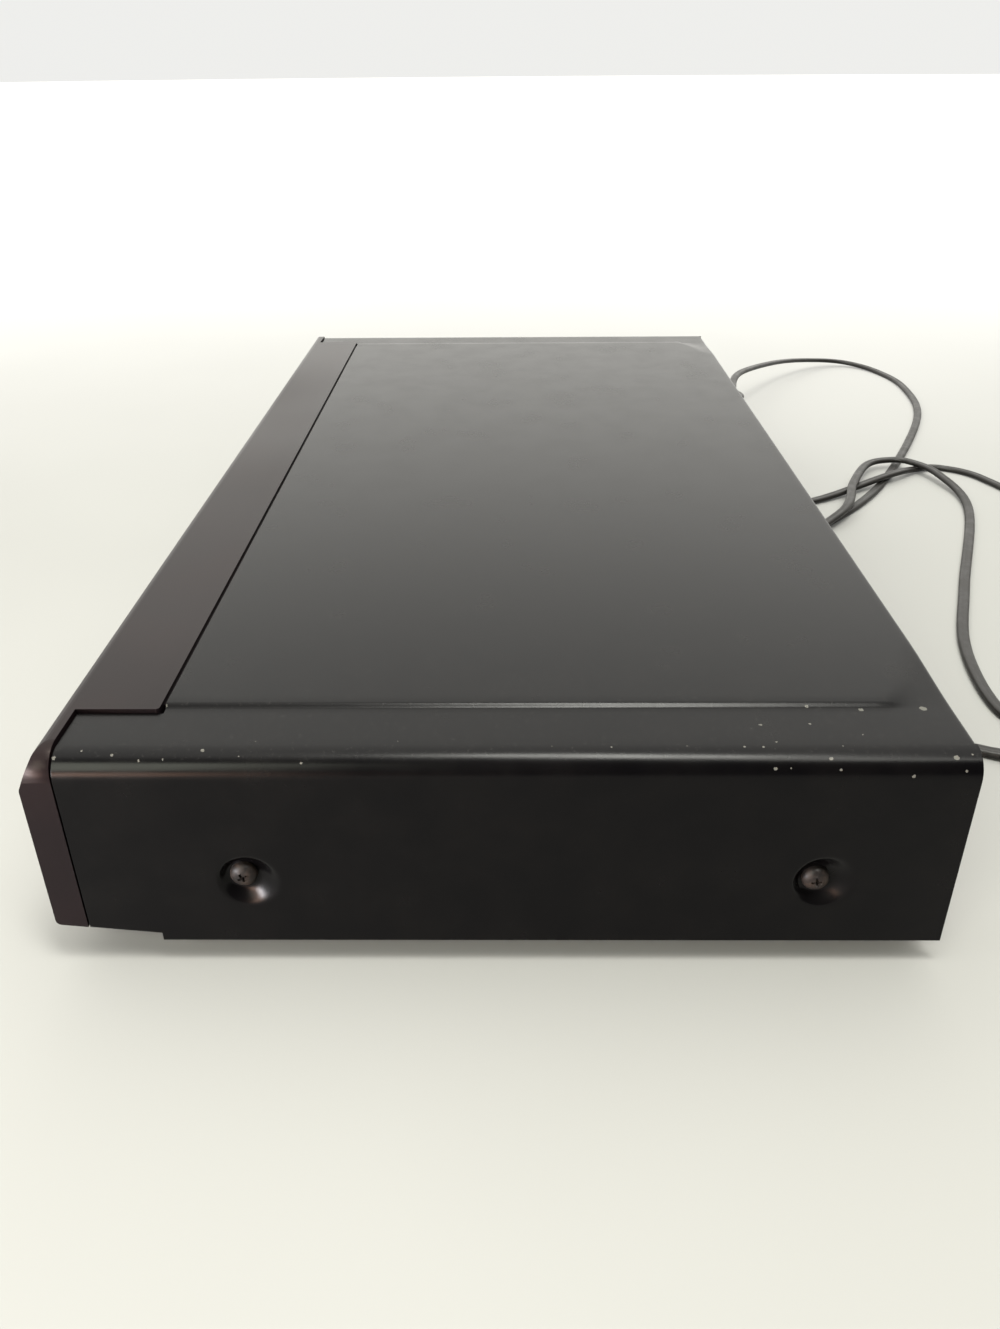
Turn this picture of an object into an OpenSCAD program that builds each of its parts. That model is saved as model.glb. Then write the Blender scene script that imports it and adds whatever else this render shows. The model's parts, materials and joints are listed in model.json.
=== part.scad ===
// Full-width disc player with a motor-driven tray.
// X runs along the front, Y from the front to the rear, Z up. The origin is on the surface that the feet stand on,
// under the middle of the case.

/* [Case] */
// Width of the case, side to side
body_w = 430; // [430:5:520]
// Depth, from the bezel's face to the cover's rear edge
body_d = 225; // [225:5:280]
// Height of the cover, from its lower lip to the flat along its sides
cover_h = 56; // [56:1:70]
// Height of the feet
foot_h = 7; // [5:1:12]
// Thickness of the cover's and the rear panel's sheet steel
sheet_t = 0.8; // [0.6:0.1:1.2]
// Thickness of the chassis base's sheet steel
base_t = 1; // [0.8:0.1:1.5]
// Outer radius of the bend along each side of the cover
bend_r = 6.5; // [3:0.5:8]

/* [Cover details] */
// Distance of the raised panel's foot from the side
panel_inset = 22; // [18:1:40]
// Rise of the raised panel above the side flats
panel_rise = 1; // [0.5:0.1:1.5]
// Width of the slope around the raised panel
panel_slope = 2; // [1:0.5:4]
// Length over which the raised panel runs out to the rear edge
panel_rear = 16; // [6:1:30]
// Diameter of a screw dish in the cover's side
dish_d = 15.5; // [13:0.5:18]
// Depth of a screw dish
dish_depth = 2.4; // [1.5:0.1:3]
// Diameter of the flat seat in a dish
dish_seat_d = 8; // [7:0.5:9]
// Height of the dishes above the lower lip
dish_z = 19.5; // [16:0.5:24]
// Distance of the front dish from the bezel's face
dish_front = 51; // [45:1:70]
// Distance of the rear dish from the rear edge
dish_rear = 32; // [20:1:50]

/* [Bezel] */
// Depth of the bezel in front of the cover's sides
bezel_side = 8; // [6:0.5:10]
// Depth of the bezel's top flange, back to the seam
bezel_top = 29; // [27:0.5:34]
// Distance of the flange's ends from the sides
flange_inset = 20.7; // [16:0.1:22]
// Corner radius of the flange, seen from above
flange_corner = 1; // [0.4:0.1:2]
// Wall of the moulded bezel
bezel_wall = 2.4; // [2:0.1:3]
// Height of the flat front face's top above the lower lip
brow_z = 47.2; // [46.5:0.1:48]
// Depth of the slope between the front face and the top
brow_d = 4.5; // [3:0.5:8]
// Height of the front face's lower edge above the lower lip
chin_z = 5.3; // [3:0.1:7]
// Height of the chin's rear edge above the lower lip
chin_step = 2.4; // [1.5:0.1:3]
// Radius of the brow's edges
brow_r = 3; // [1:0.5:4]
// Depth of the sloping chin
chin_d = 26.5; // [24:0.5:30]
// Gap of the visible seams
seam = 0.4; // [0.2:0.1:0.8]

/* [Keys] */
// How far the keys stand proud of the bezel
key_proud = 1; // [0.5:0.1:2]
// Travel of a key
key_travel = 1; // [0.5:0.1:1.2]
// Width of a key
key_w = 16; // [10:0.5:17]
// Height of a key
key_h = 6.5; // [4:0.5:8]
// Distance between key columns
key_pitch_x = 21; // [20:0.5:24]
// Distance between key rows
key_pitch_z = 12; // [10:0.5:13]
// Diameter of the power key
power_d = 15; // [12:0.5:20]

/* [Tray] */
// Place of the tray's middle line along the front
tray_x = -30; // [-45:1:-20]
// Width of the tray
tray_w = 130; // [128:1:132]
// Length of the tray behind the door
tray_l = 187; // [185:1:190]
// Travel of the tray
tray_travel = 140; // [130:1:142]
// Distance of the disc's centre from the bezel's face
disc_y = 76; // [75:0.5:78]
// Diameter of the large disc recess
disc_recess_d = 122; // [121:0.5:123]
// Diameter of the small disc recess
small_recess_d = 82; // [81:0.5:84]
// Width of the slot for the turntable and the lens
slot_w = 36; // [34:0.5:40]

/* [Loading train] */
// Module of the gear teeth
gear_m = 1; // [1:0.05:1.05]
// Teeth of the drive gear
drive_teeth = 28; // [28:2:30]
// Teeth of the pulley gear's pinion
pinion_teeth = 14; // [14:2:16]
// Play between meshing teeth, along the pitch line
backlash = 0.2; // [0.16:0.02:0.3]
// Radius of the belt's middle line on the pulley gear
belt_r = 12; // [9:0.5:12]
// Radius of the belt's middle line on the motor pulley
motor_belt_r = 3; // [2.5:0.25:4]
// Thickness of the square belt
belt_t = 1.2; // [1:0.1:1.5]

/* [Playing unit] */
// Tilt of the traverse when it is down, in degrees
traverse_tilt = 3.5; // [3:0.1:3.6]
// Travel of the cam slider that tilts the traverse
cam_travel = 15; // [12:1:16]
// Travel of the pickup sled
sled_travel = 34; // [30:1:35]
// Distance of the lens from the spindle at the start of the disc
lens_start = 24; // [23.5:0.5:25]
// Diameter of the guide rods
rod_d = 3; // [2.5:0.5:3]
// Diameter of the turntable
turntable_d = 29; // [26:0.5:30]

/* [Rear] */
// How far the phono jacks stand out of the rear edge
jack_out = 8; // [6:0.5:10]
// Outer diameter of a phono jack
jack_d = 8.3; // [8:0.1:8.4]
// Distance between phono jacks
jack_pitch = 14; // [12:0.5:16]

/* [Mains lead] */
// Width of the flat mains lead
cord_w = 4.6; // [4:0.1:5]
// Thickness of the flat mains lead
cord_t = 2.6; // [2.2:0.1:3]

/* [Hidden] */

$fn = 48;
eps = 0.01;
fit = 0.3;                       // gap between a moving piece and what guides it
pin_gap = 0.1;                   // radial play of a pin in its hole

// ---- Case levels and edges ----
half_w = body_w / 2;
front_y = key_proud - (key_proud + body_d + jack_out) / 2;
rear_y = front_y + body_d;
lip_z = foot_h;
top_z = lip_z + cover_h;
panel_z = top_z + panel_rise;
seam_y = front_y + bezel_top;
wall_x = half_w - dish_depth - sheet_t;      // outer face of the chassis walls, where the dishes seat
floor_z = lip_z + base_t;
rear_panel_y = rear_y - 2 * sheet_t;
rear_lip = 9;                                // depth of the cover's turned-down rear lip
rear_lip_screws = [-0.62, 0, 0.62];          // places of the rear screws, as parts of half the width
wall_h = 28;
base_front_y = front_y + chin_d + seam;
foot_in_x = 45;
foot_in_y = 38;
foot_d = 30;

// ---- Screws ----
screw_d = 2.9;
screw_hole_d = 3;
screw_head_d = 6;
screw_head_h = 1.9;
cross_l = 2.6;                               // cross recess of a screw: length and width of its slots
cross_t = 0.7;

// ---- Loader levels, above the case's lower lip ----
deck_z = 14;
deck_t = 2;
pulley_z = 17;
pulley_t = 4.5;
gear_z = 22;
tray_z = 32.5;                               // underside of the tray
tray_t = 5.5;
rack_h = 5;
rail_h = 6.2;
recess_z = 36;
small_recess_z = 34.5;
tray_front = 4.5;
door_h = 17.5;
door_z = tray_z - rack_h;
door_w = tray_w + 4;
door_t = 3.5;
frame_wall = 2.5;
frame_in = tray_w / 2 + 0.5;
frame_out = frame_in + frame_wall;
frame_front = 16.5;
frame_rear = 212;
lip_gap = fit;

// ---- Loading train ----
pressure_angle = 25;
pitch = PI * gear_m;
drive_r = drive_teeth * gear_m / 2;
pinion_r = pinion_teeth * gear_m / 2;
addendum = 0.9 * gear_m;
dedendum = 1.2 * gear_m;
rack_x = 52;                                 // pitch line of the rack, from the tray's middle line
drive_x = rack_x - drive_r;
pinion_x = drive_x - drive_r - pinion_r;
train_y = 34;                                // line of the gears and the motor, from the bezel's face
motor_x = -22;
motor_y = train_y + 7.5;
motor_d = 24.4;
motor_h = 12.3;
post_d = 4;
pulley_post_d = 3;
belt_z = pulley_z + pulley_t / 2;
belt_c = norm([pinion_x - motor_x, train_y - motor_y]);
belt_turn = atan2(train_y - motor_y, pinion_x - motor_x);

// ---- Playing unit ----
pivot_y = 178;
pivot_z = 24;
pivot_d = 4;
trav_half = 43;
trav_front = 55;
trav_rear = 182;
trav_z = 21;
trav_h = 6;
trav_wall = 2.5;
cam_y = 50.5;
cam_t = 2.5;
cam_pin_d = 3;
cam_pin_x = 20;
cam_pin_z = 28;
cam_drop = (pivot_y - cam_y - cam_t / 2) * sin(traverse_tilt);
cam_slot = cam_pin_d + 0.7;
disc_z = 39.3;
spindle_plate_z = 24.5;
spindle_motor_d = 23;
rod_z = 29.2;
rod_left = -30;
rod_right = 26;
rod_front = 82;
rod_rear = 160;
sled_z = 26.5;
sled_h = 5.4;
sled_l = 28;
lens_y = disc_y + lens_start;
screw_x = 36;
screw_z = 25.5;
lead_d = 3;
sled_motor_d = 12;
sled_motor_l = 14;
sled_motor_y = rod_rear - 13;

// ---- Clamp ----
bridge_z = 45;
bridge_t = 1.2;
bridge_l = 44;
clamp_hole_d = 28;
clamp_z = 40;
clamp_post_x = frame_out + 3;
clamp_post_y = 12;

// ---- Front panel ----
board_v = 12;                                // front board, from the bezel's face
board_t = 1.6;
switch_h = 3.5;
plunger_h = 0.9;
key_x = half_w - 16 - key_pitch_x;
key_z = 38;
key_flange = 1.2;
stem_end = board_v - switch_h - plunger_h - key_travel - fit;
power_x = -(half_w - 24);
power_z = 26;
light_z = 40;
window_w = 100;
window_h = 26;
window_x = tray_x + door_w / 2 + 75;
window_z = 26;
window_t = 2;
display_w = 84;
display_h = 18;

// ---- Boards ----
post_h = 8;
board_z = floor_z + post_h;
main_w = 150;
main_l = 128;
main_x = tray_x + frame_out + 17;
main_y = rear_panel_y - 3 - main_l;
power_w = 88;
power_l = 150;
power_board_x = -half_w + 12;
power_board_y = rear_panel_y - 12 - power_l;
board_inset = 5;
harness_z = lip_z + 45;

// ---- Mains lead ----
cord_x = -(half_w - 19);
cord_z = 30;
relief_in = 9;
relief_out = 12;
cord_y = rear_y + relief_out;
plug_w = 24;
plug_h = 12;
plug_l = 30;
prong_l = 17.5;
prong_pitch = 12.7;
plug_turn = -4;

// The lead's route, from the strain relief to the plug, with its crossings raised
CORD_ROUTE = [
    [-196, 121, 30], [-199, 128, 29.6], [-208, 135, 28.4], [-232, 135, 26.7], [-275, 148, 25], [-342, 188, 15],
    [-381, 225, 6.5], [-387, 250, 3], [-367, 267, 1.5], [-324, 273, 1.5], [-253, 259, 1.5], [-138, 203, 1.5],
    [-81, 160, 1.5], [-69, 138, 1.5], [-75, 124, 1.5], [-86, 119, 1.5], [-100, 126, 1.7], [-108, 158, 1.6],
    [-137, 204, 4.6], [-153, 224, 2.4], [-158, 240, 1.5], [-141, 257, 1.5], [-92, 266, 1.5], [-20, 242, 1.5],
    [88, 212, 1.5], [110, 191, 1.5], [99, 173, 1.5], [52, 177, 1.5], [-4, 197, 1.5], [-96, 233, 1.6],
    [-137, 232, 4.8], [-157, 223, 5.2], [-162, 212, 4.8], [-153, 197, 5], [-119, 180, 6.2], [-87, 168, 6.3],
    [-37, 136, 1.9], [88, 130, 1.6], [123, 159, 1.8], [129.5, 200, 6]
];

BLACK_STEEL = [0.07, 0.07, 0.07];
BLACK_PLASTIC = [0.09, 0.08, 0.085];
ZINC = [0.72, 0.73, 0.74];
GREY_PLASTIC = [0.28, 0.28, 0.29];
WHITE_PLASTIC = [0.88, 0.87, 0.83];
BOARD_GREEN = [0.1, 0.36, 0.18];
BRASS = [0.8, 0.65, 0.3];

// ---------------------------------------------------------------- shared shapes

// Moves the loader's own frame, from the tray's middle line, the bezel's face and the lower lip, into the case
module at_loader() {
    translate([tray_x, front_y, lip_z]) children();
}

// Box from one corner to the other
module block(from, to) {
    translate(from) cube(to - from);
}

module round_rect(w, h, r) {
    square([w - 2 * r, h], center = true);
    square([w, h - 2 * r], center = true);
    for (x = [-1, 1], y = [-1, 1]) translate([x * (w / 2 - r), y * (h / 2 - r)]) circle(r);
}

// Rounded plate that faces the front: width along X, height along Z, between two depths
module front_plate(w, h, r, y0, y1) {
    translate([0, y1, 0]) rotate([90, 0, 0]) linear_extrude(y1 - y0) round_rect(w, h, r);
}

module slot_2d(l, w) {
    square([l - w, w], center = true);
    for (x = [-1, 1]) translate([x * (l - w) / 2, 0]) circle(w / 2);
}

// Outline with round corners, from vertices given as [x, y, radius]
function unit(v) = v / norm(v);
function corner_arc(before, at, after) = let (
        p = [at[0], at[1]],
        u = unit([before[0], before[1]] - p),
        v = unit([after[0], after[1]] - p),
        half = acos(u * v) / 2,
        centre = p + unit(u + v) * at[2] / sin(half),
        start = p + u * at[2] / tan(half) - centre,
        end = p + v * at[2] / tan(half) - centre,
        a = atan2(start[1], start[0]),
        turn = (atan2(end[1], end[0]) - a + 540) % 360 - 180)
    at[2] == 0 ? [p] : [for (k = [0:5]) centre + at[2] * [cos(a + turn * k / 5), sin(a + turn * k / 5)]];
function outline(p) = let (n = len(p))
    [for (i = [0:n - 1]) each corner_arc(p[(i + n - 1) % n], p[i], p[(i + 1) % n])];

// Solid along X or Y from a section drawn in the plane across it
module along_x(x0, x1) {
    translate([x0, 0, 0]) rotate([90, 0, 90]) linear_extrude(x1 - x0) children();
}

module along_y(y0, y1) {
    translate([0, y1, 0]) rotate([90, 0, 0]) linear_extrude(y1 - y0) children();
}

module at_corners(w, l, inset) {
    for (x = [inset, w - inset], y = [inset, l - inset]) translate([x, y, 0]) children();
}

// Pan-head cross-recess screw, its head's seat at z = 0 and its shank below
module pan_screw(length) {
    difference() {
        union() {
            cylinder(d = screw_head_d, h = screw_head_h * 0.45);
            translate([0, 0, screw_head_h * 0.45])
                cylinder(d1 = screw_head_d, d2 = screw_head_d * 0.6, h = screw_head_h * 0.55);
        }
        for (a = [0, 90]) rotate(a)
            translate([-cross_l / 2, -cross_t / 2, screw_head_h * 0.4]) cube([cross_l, cross_t, screw_head_h]);
    }
    translate([0, 0, -length]) cylinder(d = screw_d, h = length);
}

// ---------------------------------------------------------------- case

// Section across the case's width: a straight-sided arch with round shoulders
module arch(w, low, z, r) {
    translate([-w, low]) square([2 * w, z - low - r]);
    translate([-w + r, z - r - eps]) square([2 * (w - r), r + eps]);
    for (s = [-1, 1]) translate([s * (w - r), z - r]) circle(r);
}

// Section of the bent cover's outside, or of its inside when inset by the sheet
module cover_section(inset, drop) {
    arch(half_w - inset, lip_z - drop, top_z - inset, bend_r - inset);
}

// The raised panel with sloping sides, lowered by dz for the inside of the sheet
module raised_panel(dz) {
    foot = half_w - panel_inset;
    head = foot - panel_slope;
    low = top_z - sheet_t - 1;
    intersection() {
        along_y(front_y, rear_y) translate([0, dz])
            polygon([[-foot, low], [-foot, top_z], [-head, panel_z], [head, panel_z], [foot, top_z], [foot, low]]);
        along_x(-half_w, half_w) translate([0, dz])
            polygon([[front_y, low], [front_y, panel_z], [rear_y - panel_rear, panel_z], [rear_y, top_z],
                [rear_y, low]]);
    }
}

// Half section of a pressed dish: a flat seat, then a wall that rolls out to the surface at z = 0. Its back is
// grown by the sheet.
module dish_section(grow) {
    seat = dish_seat_d / 2;
    rim = dish_d / 2;
    steps = 6;
    polygon(concat([[0, 1], [0, -dish_depth]],
        [for (k = [0:steps]) let (t = k / steps)
            [seat + grow + (rim - seat) * t, -dish_depth * (1 + cos(180 * t)) / 2]],
        [[rim + grow, 1]]));
}

// Places of the four side screws, turned so that Z points out of the side
module at_side_screws() {
    for (s = [-1, 1], y = [front_y + dish_front, rear_y - dish_rear])
        translate([s * half_w, y, lip_z + dish_z]) rotate([0, s * 90, 0]) children();
}

// Places of the rear lip's screws, turned so that Z points out of the rear
module at_rear_screws() {
    for (k = rear_lip_screws)
        translate([k * half_w, rear_y, top_z - sheet_t - rear_lip / 2]) rotate([-90, 0, 0]) children();
}

// Slope of the chin, shared by the bezel and the front of the cover's sides
function chin_at(y) = lip_z + chin_z - (chin_z - chin_step) * (y - front_y) / chin_d;

module chin_cut() {
    along_x(-half_w - 1, half_w + 1)
        polygon([[front_y - 1, lip_z - 1], [front_y - 1, chin_at(front_y - 1)],
            [front_y + chin_d, chin_at(front_y + chin_d)], [front_y + chin_d, lip_z - 1]]);
}

// Outline of the bezel's top flange from above, or of the cover's cut-out for it when grown by the seam
module flange_2d(grow) {
    y0 = front_y - grow;
    y1 = seam_y - seam / 2 + grow;
    translate([0, (y0 + y1) / 2]) round_rect(2 * (half_w - flange_inset + grow), y1 - y0, flange_corner + grow);
}

module top_cover() {
    color(BLACK_STEEL) difference() {
        union() {
            difference() {
                union() {
                    along_y(front_y + bezel_side + seam, rear_y) cover_section(0, 0);
                    raised_panel(0);
                }
                along_y(front_y - 1, rear_y + 1) cover_section(sheet_t, 1);
                raised_panel(-sheet_t);
            }
            // turned-down lip along the rear
            block([-half_w + bend_r, rear_y - sheet_t, top_z - sheet_t - rear_lip],
                [half_w - bend_r, rear_y, top_z - sheet_t / 2]);
            // backs of the dishes
            at_side_screws() intersection() {
                translate([0, 0, -sheet_t]) rotate_extrude() dish_section(sheet_t);
                translate([0, 0, -2 * dish_depth]) cylinder(d = 2 * dish_d, h = 2 * dish_depth - sheet_t / 2);
            }
        }
        at_side_screws() {
            rotate_extrude() dish_section(0);
            translate([0, 0, -dish_depth - sheet_t - 1]) cylinder(d = screw_hole_d + 0.4, h = dish_depth + 2);
        }
        at_rear_screws() translate([0, 0, -1.5]) cylinder(d = screw_hole_d + 0.4, h = 3);
        // room for the bezel's top flange
        translate([0, 0, top_z - bend_r - 1]) linear_extrude(bend_r + panel_rise + 2) flange_2d(seam);
        chin_cut();
    }
}

module bezel_profile() {
    polygon(outline([[front_y, lip_z + chin_z, brow_r / 2], [front_y, lip_z + brow_z, brow_r],
        [front_y + brow_d, panel_z, brow_r], [seam_y - seam / 2, panel_z, 0],
        [seam_y - seam / 2, panel_z - bezel_wall, 0], [front_y + chin_d, panel_z - bezel_wall, 0],
        [front_y + chin_d, chin_at(front_y + chin_d), 0]]));
}

module bezel_hollow() {
    w = bezel_wall;
    polygon([[front_y + w, chin_at(front_y) + w], [front_y + w, lip_z + brow_z - w / 3],
        [front_y + brow_d + w / 3, panel_z - w], [seam_y + 1, panel_z - w],
        [seam_y + 1, chin_at(front_y + chin_d) + w], [front_y + chin_d, chin_at(front_y + chin_d) + w]]);
}

// Places of the six function keys: column and row
function key_at(c, r) = [key_x + c * key_pitch_x, front_y, lip_z + key_z - r * key_pitch_z];

module at_board_bosses() {
    for (s = [-1, 1], z = [10.5, 43])
        translate([window_x + s * (window_w / 2 + 3.5), front_y, lip_z + z]) rotate([-90, 0, 0]) children();
}

module front_bezel() {
    inner_x = half_w - sheet_t - seam;
    strip_z = top_z - sheet_t - seam;
    inner_r = bend_r - sheet_t - seam;
    color(BLACK_PLASTIC) difference() {
        union() {
            difference() {
                intersection() {
                    along_x(-half_w, half_w) bezel_profile();
                    union() {
                        along_y(front_y - 1, front_y + bezel_side)
                            arch(half_w, lip_z, panel_z, bend_r + panel_rise);
                        // the cover's sides and side flats lie over the rear part, beside the flange
                        along_y(front_y, seam_y) arch(inner_x, lip_z, strip_z, inner_r);
                        linear_extrude(panel_z) flange_2d(0);
                    }
                }
                intersection() {
                    along_x(-half_w, half_w) bezel_hollow();
                    union() {
                        along_y(front_y, seam_y + 1)
                            arch(inner_x - bezel_wall, lip_z, strip_z - bezel_wall, inner_r - bezel_wall);
                        block([-half_w + flange_inset + bezel_wall, front_y, lip_z],
                            [half_w - flange_inset - bezel_wall, seam_y + 1, panel_z]);
                    }
                }
            }
            // ledge under the cover's front edge
            block([-half_w + flange_inset + 4, seam_y - 6, panel_z - sheet_t - seam - 1.6],
                [half_w - flange_inset - 4, seam_y + 5, panel_z - sheet_t - seam]);
            // rim round the tray's opening
            translate([tray_x, 0, lip_z + door_z + door_h / 2])
                front_plate(door_w + 6, door_h + 3.2, 1.5, front_y + bezel_wall - eps, front_y + bezel_wall + 3);
            at_board_bosses() translate([0, 0, bezel_wall - eps]) cylinder(d = 6, h = board_v - bezel_wall + eps);
        }
        // opening for the tray
        translate([tray_x, 0, lip_z + door_z + door_h / 2])
            front_plate(door_w + 2 * seam, door_h + 2 * seam, 1.2, front_y - 1, front_y + bezel_wall + 4);
        // recess and opening for the display window
        translate([window_x, 0, lip_z + window_z]) {
            front_plate(window_w + seam, window_h + seam, 2, front_y - 1, front_y + window_t - 0.6);
            front_plate(display_w + 4, display_h + 4, 1, front_y - 1, front_y + bezel_wall + 1);
        }
        for (c = [0, 1], r = [0, 1, 2]) translate(key_at(c, r))
            front_plate(key_w + 2 * fit, key_h + 2 * fit, 1.5, -1, bezel_wall + 1);
        translate([power_x, front_y, lip_z + power_z]) rotate([-90, 0, 0])
            translate([0, 0, -1]) cylinder(d = power_d + 2 * fit, h = bezel_wall + 2);
        translate([power_x, front_y, lip_z + light_z]) rotate([-90, 0, 0])
            translate([0, 0, -1]) cylinder(d = 3.2, h = bezel_wall + 2);
        at_board_bosses() translate([0, 0, bezel_wall + 1]) cylinder(d = screw_d, h = board_v);
    }
}

// Board standoffs and loader posts, pressed out of the base
module at_main_posts() {
    translate([main_x, main_y, 0]) at_corners(main_w, main_l, board_inset) children();
}

module at_power_posts() {
    translate([power_board_x, power_board_y, 0]) at_corners(power_w, power_l, board_inset) children();
}

module at_loader_tabs() {
    for (s = [-1, 1], y = [frame_front + 18, frame_rear - 14])
        translate([tray_x + s * (frame_out + 6), front_y + y, 0]) children();
}

module at_feet() {
    for (s = [-1, 1], y = [front_y + foot_in_y, rear_y - foot_in_y]) translate([s * (half_w - foot_in_x), y, 0])
        children();
}

module chassis_base() {
    front = base_front_y;
    rear = rear_panel_y;
    mid = (front + rear) / 2;
    color(ZINC) difference() {
        union() {
            block([-wall_x, front, lip_z], [wall_x, rear, floor_z]);
            for (s = [0, 1]) mirror([s, 0, 0])
                block([wall_x - base_t, front, lip_z], [wall_x, rear, lip_z + wall_h]);
            block([-wall_x, front, lip_z], [wall_x, front + base_t, lip_z + 11]);
            // stiffening ribs across the floor
            for (x = [-0.62, 0.36, 0.56]) translate([x * half_w, mid, floor_z - eps])
                linear_extrude(1.2) slot_2d_y(body_d * 0.5, 7);
            at_main_posts() translate([0, 0, lip_z]) cylinder(d = 8, h = board_z - lip_z);
            at_power_posts() translate([0, 0, lip_z]) cylinder(d = 8, h = board_z - lip_z);
            at_loader_tabs() translate([0, 0, lip_z]) cylinder(d = 9, h = deck_z);
        }
        for (s = [-1, 1]) {
            for (y = [front_y + dish_front, rear_y - dish_rear])
                translate([s * wall_x, y, lip_z + dish_z]) rotate([0, 90, 0])
                    translate([0, 0, -2]) cylinder(d = screw_hole_d, h = 4);
            // lightening slots in the walls
            for (k = [-1, 0, 1]) translate([s * wall_x, mid + k * body_d * 0.17, lip_z + wall_h * 0.62])
                rotate([90, 0, 90]) translate([0, 0, -3]) linear_extrude(6) slot_2d(body_d * 0.11, 7);
        }
        at_main_posts() translate([0, 0, floor_z + 1]) cylinder(d = screw_d, h = post_h);
        at_power_posts() translate([0, 0, floor_z + 1]) cylinder(d = screw_d, h = post_h);
        at_loader_tabs() translate([0, 0, floor_z + 2]) cylinder(d = screw_d, h = deck_z);
        at_feet() translate([0, 0, lip_z - 1]) cylinder(d = 8 + 2 * pin_gap, h = 4);
        // cooling slots under the power board and the main board
        for (k = [0:6]) translate([0, mid + (k - 3) * 9, lip_z - 1]) linear_extrude(4) {
            translate([power_board_x + power_w / 2, 0]) slot_2d(46, 3);
            translate([main_x + main_w * 0.62, 0]) slot_2d(46, 3);
        }
    }
}

module slot_2d_y(l, w) {
    rotate(90) slot_2d(l, w);
}

function jack_place(c, r) = [main_x + main_w * 0.45 + c * jack_pitch, board_z - lip_z + 8 + r * jack_pitch];

module at_phono_jacks() {
    for (c = [0, 1, 2], r = [0, 1]) {
        p = jack_place(c, r);
        translate([p[0], rear_y - sheet_t, lip_z + p[1]]) rotate([-90, 0, 0]) children();
    }
}

video_x = main_x + main_w * 0.45 + 3 * jack_pitch + 6;
video_z = board_z + 9;
video_barrel_d = 12.4;
video_out = 2 * sheet_t + 1;
video_shell_d = 9.5;
video_core_d = 7.2;
video_depth = 6.5;
video_pin_r = 2.4;

module rear_panel() {
    color(BLACK_STEEL) difference() {
        union() {
            along_y(rear_panel_y, rear_y - sheet_t)
                arch(wall_x, floor_z, top_z - sheet_t - fit, bend_r - 2 * sheet_t);
            // foot flange on the base
            block([-wall_x + 2, rear_panel_y - 8, floor_z], [wall_x - 2, rear_panel_y + eps, floor_z + sheet_t]);
        }
        at_phono_jacks() translate([0, 0, -2]) cylinder(d = jack_d + 2, h = 4);
        translate([video_x, rear_y, video_z]) rotate([-90, 0, 0]) translate([0, 0, -4])
            cylinder(d = video_barrel_d + 2 * fit, h = 5);
        translate([cord_x, 0, cord_z]) front_plate(10.4, 9.4, 3, rear_panel_y - 1, rear_y);
        at_rear_screws() translate([0, 0, -3]) cylinder(d = screw_hole_d, h = 4);
        // cooling slots behind the power board
        for (k = [0:11], r = [0, 1])
            translate([power_board_x + 18 + k * 6, 0, lip_z + 22 + r * 15])
                front_plate(2.5, 11, 1.2, rear_panel_y - 1, rear_y);
        // relief over the posts' screws in the foot flange
        for (x = [main_x + board_inset, main_x + main_w - board_inset])
            translate([x, main_y + main_l - board_inset, floor_z - 1]) cylinder(d = 9, h = 3);
    }
}

// Moulded foot: a tapered cup with a stud that snaps through the base
module foot() {
    rim = 1.2;
    color(BLACK_PLASTIC) rotate_extrude($fn = 64) polygon([
        [0, rim + 0.8], [foot_d / 2 - 3.4, rim + 0.8], [foot_d / 2 - 3.4, rim], [foot_d / 2 - 1.5, rim],
        [foot_d / 2 - 0.6, rim + 0.5], [foot_d / 2, foot_h - 1.2], [foot_d / 2 - 0.5, foot_h],
        [4, foot_h], [4, foot_h + base_t + 0.4], [3.2, foot_h + base_t + 1.6], [0, foot_h + base_t + 1.6]]);
}

module foot_at(sx, rear) {
    translate([sx * (half_w - foot_in_x), rear ? rear_y - foot_in_y : front_y + foot_in_y, 0]) foot();
}

module foot_front_left() { foot_at(-1, false); }
module foot_front_right() { foot_at(1, false); }
module foot_rear_left() { foot_at(-1, true); }
module foot_rear_right() { foot_at(1, true); }

module foot_pads() {
    color([0.05, 0.05, 0.05]) at_feet() difference() {
        cylinder(d = foot_d - 7, h = 2);
        translate([0, 0, -1]) cylinder(d = 8, h = 2);
    }
}

module cover_screws() {
    color(BLACK_STEEL) at_side_screws() translate([0, 0, -dish_depth]) pan_screw(6);
}

module rear_screws() {
    color(BLACK_STEEL) at_rear_screws() pan_screw(5);
}

module board_screws() {
    color(ZINC) {
        at_main_posts() translate([0, 0, board_z + board_t]) pan_screw(5);
        at_power_posts() translate([0, 0, board_z + board_t]) pan_screw(5);
        at_board_bosses() translate([0, 0, board_v + board_t]) pan_screw(5);
    }
}

module loader_screws() {
    color(ZINC) {
        at_loader_tabs() translate([0, 0, lip_z + deck_z + deck_t]) pan_screw(8);
        at_loader() for (s = [-1, 1], k = [-1, 1])
            translate([s * clamp_post_x, disc_y + k * clamp_post_y, bridge_z + bridge_t]) pan_screw(5);
    }
}

// ---------------------------------------------------------------- front panel

module display_window() {
    color([0.03, 0.03, 0.035]) translate([window_x, 0, lip_z + window_z]) {
        front_plate(window_w, window_h, 1.8, front_y + 0.1, front_y + window_t - 0.6);
        front_plate(display_w + 3.4, display_h + 3.4, 0.8, front_y + window_t - 0.6 - eps, front_y + bezel_wall);
    }
}

// Vacuum tube display: glass envelope with its pins on the front board
module display_module() {
    color([0.2, 0.26, 0.27]) translate([window_x, 0, lip_z + window_z]) {
        front_plate(display_w, display_h, 1.5, front_y + 5, front_y + 10);
        for (k = [-12:12]) translate([k * 3, 0, -display_h / 2 + 2])
            block([-0.25, front_y + 10 - eps, -0.4], [0.25, front_y + board_v, 0.4]);
    }
}

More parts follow.
